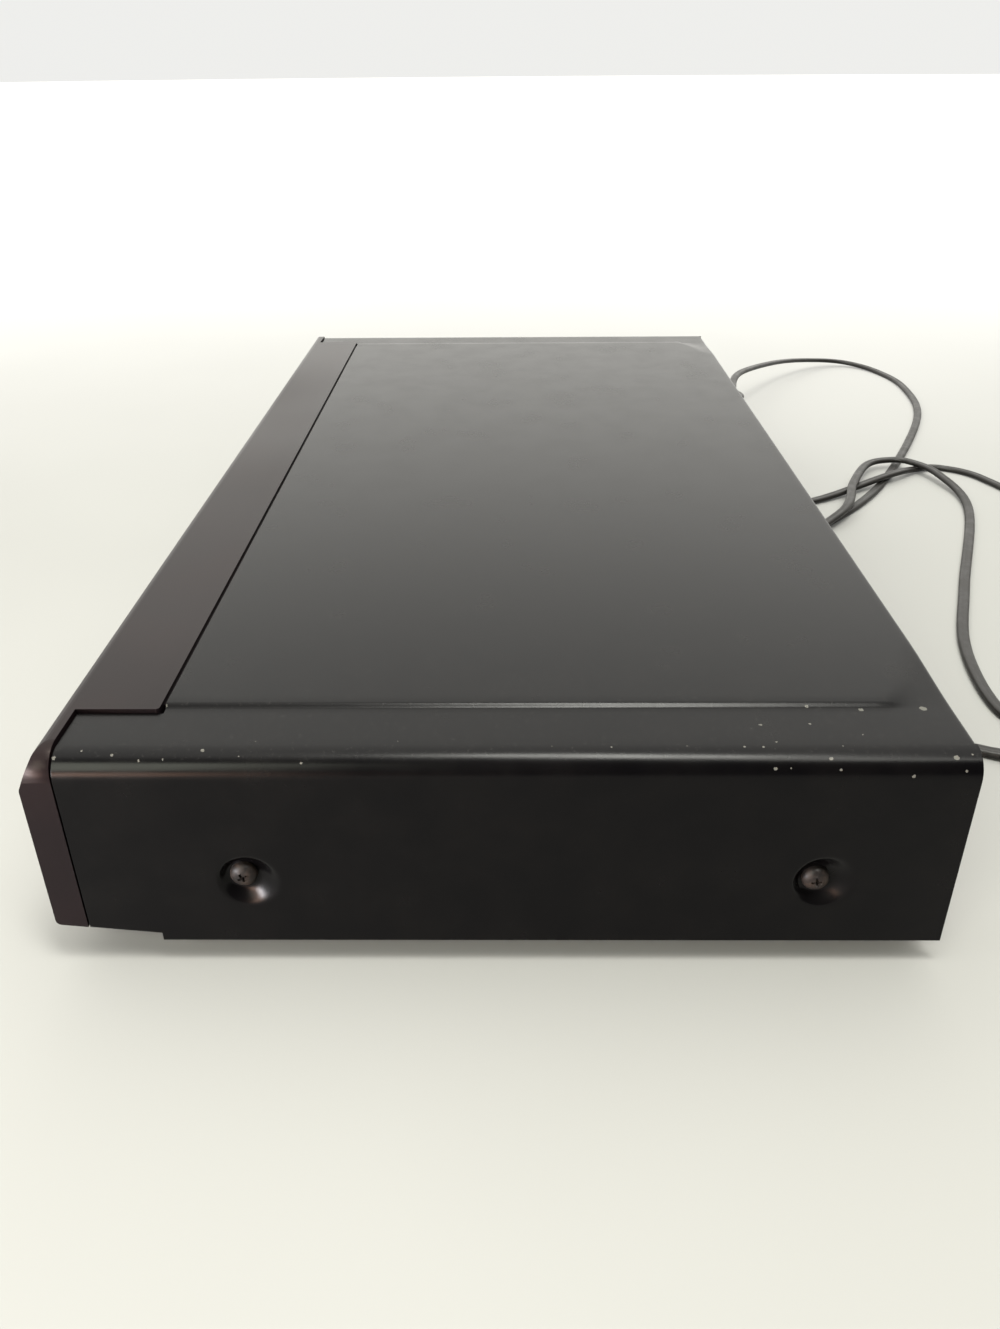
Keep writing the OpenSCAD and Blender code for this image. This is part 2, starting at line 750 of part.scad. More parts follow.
module standby_light() {
    color([0.75, 0.2, 0.15]) translate([power_x, front_y, lip_z + light_z]) rotate([-90, 0, 0]) {
        cylinder(d = 3, h = bezel_wall);
        translate([0, 0, bezel_wall]) cylinder(d = 4.5, h = board_v - bezel_wall - 0.2);
    }
}

module front_board() {
    x0 = window_x - window_w / 2 - 11;
    x1 = half_w - sheet_t - seam - bezel_wall - 2;
    color(BOARD_GREEN) {
        difference() {
            block([x0, front_y + board_v, lip_z + 7], [x1, front_y + board_v + board_t, lip_z + 47]);
            at_board_bosses() translate([0, 0, board_v - 1]) cylinder(d = screw_hole_d, h = 4);
        }
        block([power_x - 14, front_y + board_v, lip_z + 14], [power_x + 14, front_y + board_v + board_t, lip_z + 46]);
    }
    // connector for the ribbon and the remote sensor's can
    color(WHITE_PLASTIC) block([x0 + 22, front_y + board_v + board_t, lip_z + 10],
        [x0 + 44, front_y + board_v + board_t + 5, lip_z + 16]);
    color(GREY_PLASTIC) block([x1 - 62, front_y + board_v - 6, lip_z + 41],
        [x1 - 54, front_y + board_v, lip_z + 46.4]);
}

module key_switch(x, z) {
    translate([x, front_y + board_v, z]) {
        translate([0, 0, 0]) front_plate(6, 6, 0.6, -switch_h, 0);
        rotate([90, 0, 0]) translate([0, 0, switch_h - eps]) cylinder(d = 3.4, h = plunger_h);
    }
}

module key_switches() {
    color(GREY_PLASTIC) {
        for (c = [0, 1], r = [0, 1, 2]) {
            p = key_at(c, r);
            key_switch(p[0], p[2]);
        }
        key_switch(power_x, lip_z + power_z);
    }
}

// Key cap with a retaining flange behind the bezel and a stem to its switch
module key(c, r) {
    color([0.13, 0.13, 0.135]) translate(key_at(c, r)) {
        front_plate(key_w, key_h, 1.2, -key_proud + 0.5, bezel_wall + fit + eps);
        front_plate(key_w - 1, key_h - 1, 0.8, -key_proud, -key_proud + 0.5 + eps);
        front_plate(key_w + 2, key_h + 2, 1.6, bezel_wall + fit, bezel_wall + fit + key_flange);
        front_plate(4, 4, 0.5, bezel_wall + fit + key_flange - eps, stem_end);
    }
}

module open_close_button() { key(0, 0); }
module play_button() { key(1, 0); }
module pause_button() { key(0, 1); }
module stop_button() { key(1, 1); }
module skip_back_button() { key(0, 2); }
module skip_forward_button() { key(1, 2); }

module power_button() {
    r = power_d / 2;
    color([0.13, 0.13, 0.135]) translate([power_x, front_y, lip_z + power_z]) rotate([-90, 0, 0])
        rotate_extrude() polygon([[0, -key_proud + 0.3], [r - 2.5, -key_proud + 0.3], [r - 1.5, -key_proud],
            [r - 0.5, -key_proud], [r, -key_proud + 0.5], [r, bezel_wall + fit], [r + 1.2, bezel_wall + fit],
            [r + 1.2, bezel_wall + fit + key_flange], [2, bezel_wall + fit + key_flange], [2, stem_end],
            [0, stem_end]]);
}

// ---------------------------------------------------------------- gears

// Half of a tooth's angle at a radius, for a tooth that is thinned by half the backlash
function involute_angle(r, rb) = r <= rb ? 0 : sqrt(r * r / (rb * rb) - 1) * 180 / PI - acos(rb / r);
function half_tooth(r, rp) =
    let (rb = rp * cos(pressure_angle))
    (pitch / 2 - backlash / 2) / 2 / rp * 180 / PI + involute_angle(rp, rb) - involute_angle(r, rb);
function polar(r, a) = [r * cos(a), r * sin(a)];

module gear_2d(teeth) {
    rp = teeth * gear_m / 2;
    root = rp - dedendum;
    tip = rp + addendum;
    steps = 4;
    radii = [for (k = [0:steps]) root + (tip - root) * k / steps];
    polygon([for (t = [0:teeth - 1]) each concat(
        [for (k = [0:steps]) polar(radii[k], t * 360 / teeth - half_tooth(radii[k], rp))],
        [for (k = [steps:-1:0]) polar(radii[k], t * 360 / teeth + half_tooth(radii[k], rp))])]);
}

// Rack along Y with its teeth toward -X and its pitch line at x = 0; a space is centred on y = 0
module rack_2d(y0, y1, back) {
    run = tan(pressure_angle);
    half = (pitch - backlash) / 4;
    first = ceil((y0 - pitch / 2) / pitch);
    last = floor((y1 - pitch / 2) / pitch) - 1;
    polygon(concat(
        [[back, y0], [dedendum, y0]],
        [for (k = [first:last]) let (c = (k + 0.5) * pitch) each [
            [dedendum, c - half - dedendum * run], [-addendum, c - half + addendum * run],
            [-addendum, c + half - addendum * run], [dedendum, c + half + dedendum * run]]],
        [[dedendum, y1], [back, y1]]));
}

module drive_gear() {
    bore = post_d + 2 * pin_gap;
    color(WHITE_PLASTIC) at_loader() translate([drive_x, train_y, 0]) difference() {
        union() {
            translate([0, 0, gear_z]) linear_extrude(tray_z - gear_z - 1) gear_2d(drive_teeth);
            translate([0, 0, deck_z + deck_t + fit]) cylinder(d = 9, h = gear_z - deck_z - deck_t);
        }
        translate([0, 0, deck_z]) cylinder(d = bore, h = 30);
        // recess round the hub and lightening holes in the web
        translate([0, 0, gear_z + 4]) difference() {
            cylinder(r = drive_r - 3.4, h = 20);
            cylinder(d = 9, h = 20);
        }
        for (a = [0:60:300]) rotate(a) translate([drive_r * 0.52, 0, gear_z - 1]) cylinder(d = 3.4, h = 8, $fn = 24);
    }
}

module pulley_rim(r, h) {
    // flanges with a groove that leaves room for the belt
    rotate_extrude() polygon([[0, 0], [r + 1, 0], [r + 1, 0.8], [r - belt_t / 2 - fit, h / 2 - belt_t / 2],
        [r - belt_t / 2 - fit, h / 2 + belt_t / 2], [r + 1, h - 0.8], [r + 1, h], [0, h]]);
}

module pulley_gear() {
    color(GREY_PLASTIC) at_loader() translate([pinion_x, train_y, 0]) difference() {
        union() {
            translate([0, 0, pulley_z]) pulley_rim(belt_r, pulley_t);
            translate([0, 0, pulley_z + pulley_t - eps]) cylinder(r = pinion_r - dedendum, h = 1);
            translate([0, 0, gear_z]) rotate(180 / pinion_teeth) linear_extrude(4.7) gear_2d(pinion_teeth);
        }
        translate([0, 0, deck_z]) cylinder(d = pulley_post_d + 2 * pin_gap, h = 20);
    }
}

module motor_pulley() {
    color(BRASS) at_loader() translate([motor_x, motor_y, pulley_z]) difference() {
        pulley_rim(motor_belt_r, pulley_t);
        translate([0, 0, -1]) cylinder(d = 2 + 2 * pin_gap, h = pulley_t + 2);
    }
}

// Outline of an open belt round two pulleys on a line, shifted outward by grow
function belt_outline(grow) =
    let (lean = asin((belt_r - motor_belt_r) / belt_c), n = 16)
    concat(
        [for (k = [0:n]) let (a = -90 - lean + (180 + 2 * lean) * k / n)
            [belt_c, 0] + polar(belt_r + grow, a)],
        [for (k = [0:n]) let (a = 90 + lean + (180 - 2 * lean) * k / n) polar(motor_belt_r + grow, a)]);

module drive_belt() {
    color([0.06, 0.06, 0.06]) at_loader() translate([motor_x, motor_y, belt_z - belt_t / 2])
        rotate(belt_turn) linear_extrude(belt_t) difference() {
            polygon(belt_outline(belt_t / 2));
            polygon(belt_outline(-belt_t / 2));
        }
}

module loading_motor() {
    color(ZINC) at_loader() translate([motor_x, motor_y, deck_z]) {
        translate([0, 0, -motor_h]) difference() {
            cylinder(d = motor_d, h = motor_h);
            for (s = [-1, 1]) translate([s * motor_d / 2, 0, motor_h / 2]) cube([2, 12, motor_h + 2], center = true);
        }
        translate([0, 0, -eps]) cylinder(d = 6, h = 2);
        cylinder(d = 2, h = pulley_z + pulley_t - deck_z);
    }
}

// ---------------------------------------------------------------- tray and loader frame

// Round recess for a disc between two heights, with a bevelled rim that leads the disc in
module recess(d, z0, z1) {
    rim = 0.8;
    translate([0, disc_y, z0]) cylinder(d = d, h = z1 - z0 + 1, $fn = 96);
    translate([0, disc_y, z1 - rim]) cylinder(d1 = d, d2 = d + 2 * (rim + eps), h = rim + eps, $fn = 96);
}

module disc_tray() {
    half = tray_w / 2;
    rear = tray_front + tray_l;
    rack_start = train_y - 6;
    rack_end = train_y + tray_travel + 6;
    color(GREY_PLASTIC) at_loader() {
        difference() {
            union() {
                block([-half, tray_front + 3, tray_z], [half, rear, tray_z + tray_t]);
                for (s = [0, 1]) mirror([s, 0, 0])
                    block([half - 2.5, tray_front + 3, tray_z], [half, rear, tray_z + rail_h]);
                // front wall that carries the door
                translate([0, 0, door_z + door_h / 2])
                    front_plate(tray_w - 2, door_h - 2, 1, door_t, tray_front + 3 + eps);
            }
            recess(disc_recess_d, recess_z, tray_z + tray_t);
            recess(small_recess_d, small_recess_z, recess_z);
            // slot for the turntable and the lens, open to the rear
            translate([0, disc_y, tray_z - 1]) cylinder(d = slot_w, h = 20);
            block([-slot_w / 2, disc_y, tray_z - 1], [slot_w / 2, rear + 1, tray_z + 20]);
            // hollows under the rim, behind the disc and at its sides
            for (s = [0, 1]) mirror([s, 0, 0]) difference() {
                block([slot_w / 2 + 3, tray_front + 6, tray_z - 1], [half - 5, rear - 3, recess_z - 0.2]);
                translate([0, disc_y, tray_z - 2]) cylinder(d = disc_recess_d + 4, h = 10, $fn = 96);
                block([rack_x - 2, 0, tray_z - 2], [rack_x + 7, rear, tray_z + 10]);
            }
            // finger notches beside the disc
            for (s = [-1, 1]) translate([s * half, disc_y - 30, recess_z]) cylinder(d = 26, h = 10);
        }
        translate([rack_x, train_y, door_z]) linear_extrude(rack_h + eps)
            rack_2d(rack_start - train_y, rack_end - train_y, 5);
    }
}

module tray_door() {
    color(BLACK_PLASTIC) at_loader() translate([0, 0, door_z + door_h / 2]) difference() {
        union() {
            front_plate(door_w, door_h, 1, 0.5, door_t);
            front_plate(door_w - 1, door_h - 1, 0.8, 0, 0.5 + eps);
        }
        // hollow back
        front_plate(door_w - 14, door_h - 6, 1, 2.2, door_t + 1);
    }
}

module loader_frame() {
    ledge_z = tray_z - fit;
    lip_over = tray_z + rail_h + lip_gap;
    open_half = trav_half + 3;
    open_front = trav_front - 0.5;
    color(GREY_PLASTIC) at_loader() {
        difference() {
            union() {
                block([-frame_out, frame_front, deck_z], [frame_out, frame_rear, deck_z + deck_t]);
                for (s = [0, 1]) mirror([s, 0, 0]) {
                    block([frame_in, frame_front, deck_z], [frame_out, frame_rear, lip_over]);
                    // ledge under the tray's edge and its gussets
                    block([frame_in - 3, frame_front, ledge_z - 1.8], [frame_in + eps, frame_rear, ledge_z]);
                    for (y = [frame_front, 70, 120, 165]) block([frame_in - 3, y, deck_z], [frame_in + eps, y + 2, ledge_z]);
                    // lips that hold the tray down
                    for (y = [frame_front, 60, 130, 180])
                        block([frame_in - 3, y, lip_over], [frame_out, y + 10, lip_over + 1.6]);
                    // tabs with the fixing holes
                    for (y = [frame_front + 18, frame_rear - 14]) translate([frame_out + 6, y, deck_z]) {
                        cylinder(d = 12, h = deck_t);
                        block([-8, -6, 0], [0, 6, deck_t]);
                    }
                    // posts of the clamp bridge
                    for (k = [-1, 1]) translate([clamp_post_x, disc_y + k * clamp_post_y, deck_z]) {
                        cylinder(d = 7, h = bridge_z - deck_z);
                        block([-4, -1.2, 0], [0, 1.2, bridge_z - deck_z - 6]);
                    }
                    // ears of the traverse's hinge
                    translate([trav_half + 3, pivot_y - 5, deck_z]) cube([3.5, 10, pivot_z - deck_z + 4]);
                }
                // rear wall, and low rails that guide the cam slider
                block([-frame_out, frame_rear - frame_wall, deck_z], [frame_out, frame_rear, ledge_z]);
                block([-44, cam_y - 1.5, deck_z], [30, cam_y - fit, deck_z + deck_t + 2.5]);
                block([-44, cam_y + cam_t + fit, deck_z], [44, cam_y + cam_t + 1.5, deck_z + deck_t + 2.5]);
                // gear posts
                translate([drive_x, train_y, deck_z]) cylinder(d = post_d, h = tray_z - deck_z - 0.6);
                translate([pinion_x, train_y, deck_z]) cylinder(d = pulley_post_d, h = gear_z + 5.2 - deck_z);
                // ribs under the deck
                for (x = [-open_half - 6, open_half + 4]) block([x, 60, deck_z - 4], [x + 2, frame_rear, deck_z + eps]);
            }
            // opening for the traverse
            block([-open_half, open_front, deck_z - 5], [open_half, frame_rear - 20, deck_z + deck_t + eps]);
            for (s = [-1, 1], y = [frame_front + 18, frame_rear - 14])
                translate([s * (frame_out + 6), y, deck_z - 1]) cylinder(d = screw_hole_d, h = 5);
            for (s = [-1, 1], k = [-1, 1])
                translate([s * clamp_post_x, disc_y + k * clamp_post_y, bridge_z - 8]) cylinder(d = screw_d, h = 10);
            for (s = [-1, 1]) translate([s * (trav_half + 5), pivot_y, pivot_z]) rotate([0, 90, 0])
                translate([0, 0, -5]) cylinder(d = pivot_d + 2 * pin_gap, h = 10);
            // motor collar hole
            translate([motor_x, motor_y, deck_z - 1]) cylinder(d = 6 + 2 * pin_gap, h = 5);
            // windows in the side walls
            for (s = [-1, 1], y = [42, 105, 150]) translate([s * (frame_in + 1), y, deck_z + 10])
                rotate([90, 0, 90]) translate([0, 0, -4]) linear_extrude(8) slot_2d(22, 8);
        }
    }
}

module cam_slider() {
    z0 = deck_z + deck_t + fit;
    z1 = cam_pin_z + 3.4;
    slope = atan2(cam_drop, cam_travel);
    color(WHITE_PLASTIC) at_loader() difference() {
        along_y(cam_y, cam_y + cam_t) {
            translate([-40, z0]) square([64, z1 - z0]);
        }
        for (s = [-1, 1]) translate([s * cam_pin_x, cam_y - 1, cam_pin_z]) rotate([-90, 0, 0])
            linear_extrude(cam_t + 2) {
                circle(cam_slot / 2);
                translate([-cam_travel, cam_drop]) circle(cam_slot / 2);
                translate([-cam_travel / 2, cam_drop / 2]) rotate(-slope)
                    square([sqrt(cam_travel * cam_travel + cam_drop * cam_drop), cam_slot - 2 * eps], center = true);
            }
        // lightening window between the slots
        translate([cam_pin_x - cam_travel / 2 - 19, cam_y - 1, z1 - 5.5]) rotate([-90, 0, 0])
            linear_extrude(cam_t + 2) slot_2d(8, 5);
    }
}

module clamp_bridge() {
    color(ZINC) at_loader() difference() {
        union() {
            block([-frame_out - 7, disc_y - bridge_l / 2, bridge_z], [frame_out + 7, disc_y + bridge_l / 2, bridge_z + bridge_t]);
            // stiffening ribs along the edges
            for (y = [disc_y - bridge_l / 2, disc_y + bridge_l / 2 - 1.2])
                block([-frame_in + 4, y, bridge_z], [frame_in - 4, y + 1.2, bridge_z + 4]);
        }
        translate([0, disc_y, bridge_z - 1]) cylinder(d = clamp_hole_d, h = 5);
        for (s = [-1, 1], k = [-1, 1])
            translate([s * clamp_post_x, disc_y + k * clamp_post_y, bridge_z - 1]) cylinder(d = screw_hole_d, h = 5);
        for (s = [-1, 1]) translate([s * 38, disc_y, bridge_z - 1]) linear_extrude(4) slot_2d_y(20, 9);
    }
}

// Free-running puck that presses the disc onto the turntable; its flange rests over the hole in the bridge
module clamper() {
    hub = clamp_hole_d / 2 - 1.5;
    flange_z = bridge_z + bridge_t + fit;
    color(WHITE_PLASTIC) at_loader() translate([0, disc_y, 0]) rotate_extrude() polygon([
        [0, clamp_z + 2.2], [4, clamp_z + 2.2], [8.2, clamp_z + 1], [8.2, clamp_z + 0.6], [hub - 1, clamp_z + 0.6],
        [hub - 1, clamp_z], [hub, clamp_z], [hub, flange_z], [clamp_hole_d / 2 + 4, flange_z],
        [clamp_hole_d / 2 + 4, flange_z + 1.2], [9, flange_z + 1.4], [9, flange_z + 3], [0, flange_z + 3]]);
}

// ---------------------------------------------------------------- playing unit

module traverse_frame() {
    top = trav_z + trav_h;
    color([0.16, 0.16, 0.17]) at_loader() {
        difference() {
            union() {
                difference() {
                    block([-trav_half, trav_front, trav_z], [trav_half, trav_rear, top]);
                    block([-trav_half + trav_wall, trav_front + trav_wall, trav_z - 1],
                        [trav_half - trav_wall, trav_rear - trav_wall, top + 1]);
                }
                block([-trav_half, trav_front, trav_z], [trav_half, trav_front + trav_wall, cam_pin_z + 2.5]);
                // plate under the spindle motor
                block([-trav_half + 1, trav_front + 1, spindle_plate_z], [trav_half - 1, disc_y + 13.5, spindle_plate_z + 2]);
                // cross member and seats of the guide rods
                block([-trav_half + 1, rod_rear - 4, trav_z], [trav_half - 1, rod_rear + 2, top]);
                for (x = [rod_left, rod_right]) {
                    block([x - 3, rod_front - 2, spindle_plate_z], [x + 3, rod_front + 4, rod_z + 2.6]);
                    block([x - 3, rod_rear - 4, trav_z], [x + 3, rod_rear + 2, rod_z + 2.6]);
                }
                // front bearing of the lead screw
                block([screw_x - 3, rod_front - 2, trav_z + 1], [screw_x + 6, rod_front + 3, screw_z + 3]);
                // hinge pins and cam pins
                translate([0, pivot_y, pivot_z]) rotate([0, 90, 0]) {
                    for (s = [0, 1]) mirror([0, 0, s]) translate([0, 0, trav_half - 1]) cylinder(d = pivot_d, h = 7);
                }
                for (s = [-1, 1]) translate([s * cam_pin_x, trav_front + 1, cam_pin_z]) rotate([90, 0, 0])
                    cylinder(d = cam_pin_d, h = trav_front + 1 - cam_y + 0.5);
            }
            for (x = [rod_left, rod_right]) translate([x, rod_front, rod_z]) rotate([-90, 0, 0])
                cylinder(d = rod_d, h = rod_rear - rod_front);
            translate([screw_x, rod_front - 5, screw_z]) rotate([-90, 0, 0]) cylinder(d = lead_d + 2 * pin_gap, h = 14);
            translate([screw_x, sled_motor_y - 1, screw_z]) rotate([-90, 0, 0]) cylinder(d = sled_motor_d, h = 24);
            translate([0, disc_y, spindle_plate_z - 1]) cylinder(d = 7, h = 5);
        }
    }
}

module spindle_motor() {
    base = spindle_plate_z + 2;
    color(ZINC) at_loader() translate([0, disc_y, base]) {
        cylinder(d = spindle_motor_d, h = 1);
        translate([0, 0, 1]) cylinder(d = spindle_motor_d - 1.2, h = 6.5);
        translate([0, 0, -2]) cylinder(d = 6.8, h = 2 + eps);
        translate([0, 0, 7]) cylinder(d = 2, h = disc_z - base - 7 - 0.2);
    }
}

module turntable() {
    r = turntable_d / 2;
    cone = 7.4;
    low = spindle_plate_z + 2 + 7.5 + fit;
    color([0.1, 0.1, 0.1]) at_loader() translate([0, disc_y, 0]) difference() {
        rotate_extrude() polygon([
            [0, low], [5, low], [5, disc_z - 2.2], [r, disc_z - 2.2], [r, disc_z], [cone + 1.2, disc_z],
            [cone + 1.2, disc_z - 0.4], [cone, disc_z - 0.4], [cone, disc_z + 0.6], [cone - 2.4, disc_z + 2],
            [0, disc_z + 2]]);
        translate([0, 0, low - 1]) cylinder(d = 2 + 2 * pin_gap, h = disc_z - low + 1);
    }
}

module guide_rods() {
    color(ZINC) at_loader() for (x = [rod_left, rod_right]) translate([x, rod_front, rod_z]) rotate([-90, 0, 0])
        cylinder(d = rod_d, h = rod_rear - rod_front);
}

module pickup_sled() {
    front = lens_y - 10;
    rear = front + sled_l;
    color([0.5, 0.5, 0.51]) at_loader() difference() {
        union() {
            block([rod_left + 3.4, front, sled_z], [rod_right - 3.4, rear, sled_z + sled_h]);
            for (x = [rod_left, rod_right]) block([x - 3.4 - eps, front + 3, sled_z], [x + 3.4 + eps, rear - 3, rod_z + 2.4]);
            // arm and half nut on the lead screw
            block([rod_right + 3, lens_y + 2, sled_z], [screw_x - 2, lens_y + 12, sled_z + 2.5]);
            translate([screw_x, lens_y + 2, screw_z]) rotate([-90, 0, 0]) cylinder(d = lead_d + 2.6, h = 10);
            // walls that the lens holder moves between
            for (s = [-1, 1]) translate([0, lens_y, 0])
                block([-11, s * 8.6 - 0.9, sled_z + sled_h - eps], [11, s * 8.6 + 0.9, sled_z + sled_h + 3.6]);
        }
        for (x = [rod_left, rod_right]) translate([x, front - 1, rod_z]) rotate([-90, 0, 0])
            cylinder(d = rod_d + 2 * pin_gap, h = sled_l + 2);
        translate([screw_x, lens_y, screw_z]) rotate([-90, 0, 0]) cylinder(d = lead_d + 2 * fit, h = 16);
        // light path under the lens and the recess that clears the spindle motor
        translate([0, lens_y, sled_z + 2]) cylinder(d = 6, h = 10);
        translate([0, disc_y, sled_z - 1]) cylinder(d = spindle_motor_d + 2, h = sled_h + 8);
    }
}

// Lens in its coil holder, hung on four wires from a post
module lens_holder() {
    low = sled_z + sled_h + 0.7;
    color([0.12, 0.12, 0.13]) at_loader() translate([0, lens_y, 0]) difference() {
        union() {
            block([-8, -6.6, low], [8, 6.6, low + 3.2]);
            translate([0, 0, low + 3.2 - eps]) cylinder(d = 9, h = 1);
            translate([0, 0, low + 4 - eps]) cylinder(d1 = 6.4, d2 = 3, h = 1);
        }
        for (s = [-1, 1]) translate([s * 6.2, 0, low - 1]) cube([2, 8, 10], center = true);
    }
}

module lead_screw() {
    color(ZINC) at_loader() translate([screw_x, rod_front - 1, screw_z]) rotate([-90, 0, 0])
        cylinder(d = lead_d, h = sled_motor_y - rod_front + 1);
}

module sled_motor() {
    color(ZINC) at_loader() translate([screw_x, sled_motor_y, screw_z]) rotate([-90, 0, 0]) cylinder(d = sled_motor_d, h = sled_motor_l);
}

// ---------------------------------------------------------------- electronics

module board(x, y, w, l) {
    difference() {
        block([x, y, board_z], [x + w, y + l, board_z + board_t]);
        translate([x, y, board_z - 1]) at_corners(w, l, board_inset) cylinder(d = screw_hole_d, h = 4);
    }
}

module main_board() {
    color(BOARD_GREEN) board(main_x, main_y, main_w, main_l);
}

// Packages that stand on the main board
module main_parts() {
    z = board_z + board_t;
    chips = [[46, 30, 24, 24, 2], [92, 34, 18, 18, 2], [88, 66, 20, 9, 1.6], [60, 64, 14, 8, 1.6], [122, 58, 14, 10, 1.6]];
    cans = [[20, 24, 8, 11], [20, 38, 8, 11], [132, 24, 10, 12], [132, 40, 8, 11], [34, 88, 6, 9], [108, 88, 6, 9]];
    color([0.06, 0.06, 0.065]) {
        for (c = chips) translate([main_x + c[0], main_y + c[1], z]) {
            block([-c[2] / 2, -c[3] / 2, 0], [c[2] / 2, c[3] / 2, c[4]]);
            block([-c[2] / 2 - 1.2, -c[3] / 2 + 1, 0], [c[2] / 2 + 1.2, c[3] / 2 - 1, 0.5]);
        }
        for (c = cans) translate([main_x + c[0], main_y + c[1], z]) cylinder(d = c[2], h = c[3]);
    }
    color(WHITE_PLASTIC) {
        block([main_x + 4, main_y + 48, z], [main_x + 9, main_y + 72, z + 6]);
        block([main_x + 84, main_y + 4, z], [main_x + 108, main_y + 9, z + 6]);
        block([main_x + 4, main_y + 106, z], [main_x + 10, main_y + 117, z + 8]);
    }
}

module power_board() {
    color([0.62, 0.48, 0.27]) board(power_board_x, power_board_y, power_w, power_l);
}

module transformer() {
    z = board_z + board_t;
    color([0.75, 0.68, 0.3]) translate([power_board_x + 44, power_board_y + 84, z]) {
        block([-19, -10, 4], [19, 10, 24]);
        difference() {
            block([-16, -17, 1], [16, 17, 27]);
            block([-11, -18, 5], [11, 18, 23]);
        }
        block([-11, -15, 5], [11, 15, 23]);
        for (s = [-1, 1], k = [-2:2]) translate([s * 15, k * 4, 0]) cylinder(d = 1, h = 5, $fn = 16);
    }
}

module power_capacitors() {
    z = board_z + board_t;
    color([0.1, 0.1, 0.14]) {
        translate([power_board_x + 44, power_board_y + 48, z]) cylinder(d = 22, h = 30);
        for (p = [[18, 30, 10, 18], [32, 24, 10, 18], [50, 22, 12, 20], [68, 26, 10, 16], [70, 42, 8, 12]])
            translate([power_board_x + p[0], power_board_y + p[1], z]) cylinder(d = p[2], h = p[3]);
    }
    // interference filter block and fuse
    color([0.75, 0.6, 0.2]) block([power_board_x + 12, power_board_y + 122, z], [power_board_x + 34, power_board_y + 134, z + 18]);
    color([0.8, 0.82, 0.84]) translate([power_board_x + 44, power_board_y + 130, z + 3]) rotate([0, 90, 0])
        cylinder(d = 5.2, h = 20);
    color(ZINC) for (x = [44, 60]) block([power_board_x + x, power_board_y + 127, z], [power_board_x + x + 4, power_board_y + 133, z + 3]);
}

module heat_sink() {
    z = board_z + board_t;
    color(ZINC) translate([power_board_x + 72, power_board_y + 62, z]) {
        block([0, 0, 0], [2.5, 44, 26]);
        for (k = [0:6]) block([2.5 - eps, k * 7, 0], [9, k * 7 + 1.6, 26]);
        block([-4.6, 14, 4], [eps, 24, 20]);
    }
}

module phono_jacks() {
    back = 14;
    p0 = jack_place(0, 0);
    p1 = jack_place(2, 1);
    color([0.1, 0.1, 0.11]) {
        difference() {
            block([p0[0] - 6.5, rear_panel_y - back, board_z + board_t], [p1[0] + 6.5, rear_panel_y, lip_z + p1[1] + 6.5]);
            for (c = [0, 1]) translate([(jack_place(c, 0)[0] + jack_place(c + 1, 0)[0]) / 2, 0, 0])
                block([-0.5, rear_panel_y - back - 1, board_z + board_t + 3], [0.5, rear_panel_y - 2, 100]);
        }
    }
    // barrels with their centre contact holes
    color(ZINC) at_phono_jacks() translate([0, 0, -sheet_t - eps]) difference() {
        union() {
            cylinder(d = jack_d, h = jack_out + 2 * sheet_t + eps);
            cylinder(d = jack_d + 1.3, h = 2 * sheet_t + eps);
        }
        translate([0, 0, 2]) cylinder(d = 3.2, h = jack_out + 4);
        translate([0, 0, jack_out + sheet_t - 0.8]) cylinder(d = jack_d - 1.6, h = 2);
    }
}

module video_jack() {
    color([0.1, 0.1, 0.11]) translate([video_x, rear_panel_y, video_z]) difference() {
        union() {
            block([-7, -12, board_z + board_t - video_z], [7, 0, 7]);
            rotate([-90, 0, 0]) cylinder(d = video_barrel_d, h = video_out);
        }
        rotate([-90, 0, 0]) translate([0, 0, video_out - video_depth]) {
            // groove for the plug's shell, round a core set back from the mouth, with ribs that turn the plug true
            difference() {
                cylinder(d = video_shell_d + 2 * fit, h = video_depth + eps);
                translate([0, 0, -eps]) cylinder(d = video_core_d, h = video_depth - 1);
                for (a = [90, 215, 325]) rotate(a)
                    translate([video_shell_d / 2 - 0.3, -0.7, -eps]) cube([1, 1.4, video_depth - 1]);
            }
            for (a = [35, 145, 215, 325]) rotate(a)
                translate([video_pin_r, 0, 0]) cylinder(d = 1.1, h = video_depth, $fn = 16);
            // hole for the key in the plug's middle
            translate([-1.3, 0.9, 0]) cube([2.6, 1.3, video_depth]);
        }
    }
}

// Flat cable as a bent band: points across the run, with mitred corners
function band_side(p, h) = [for (i = [0:len(p) - 1])
    let (u = unit(p[max(i, 1)] - p[max(i, 1) - 1]), v = unit(p[min(i + 1, len(p) - 1)] - p[min(i, len(p) - 2)]),
        n = unit([-u[1] - v[1], u[0] + v[0]]))
    p[i] + n * h / (n * [-u[1], u[0]])];

module band(points, thick) {
    far = band_side(points, -thick / 2);
    polygon(concat(band_side(points, thick / 2), [for (i = [len(far) - 1:-1:0]) far[i]]));
}

module loader_ribbon() {
    z = board_z + board_t + 6;
    x0 = main_x + 6.5;
    color(WHITE_PLASTIC) translate([0, main_y + 51, 0]) rotate([90, 0, 0]) translate([0, 0, -18]) linear_extrude(18)
        band([[x0, z - eps], [x0, z + 4], [x0 - 6, z + 8], [tray_x + frame_out + 4, z + 8],
            [tray_x + frame_out + 2, z + 4], [tray_x + frame_out + fit, z + 1.4]], 0.6);
}

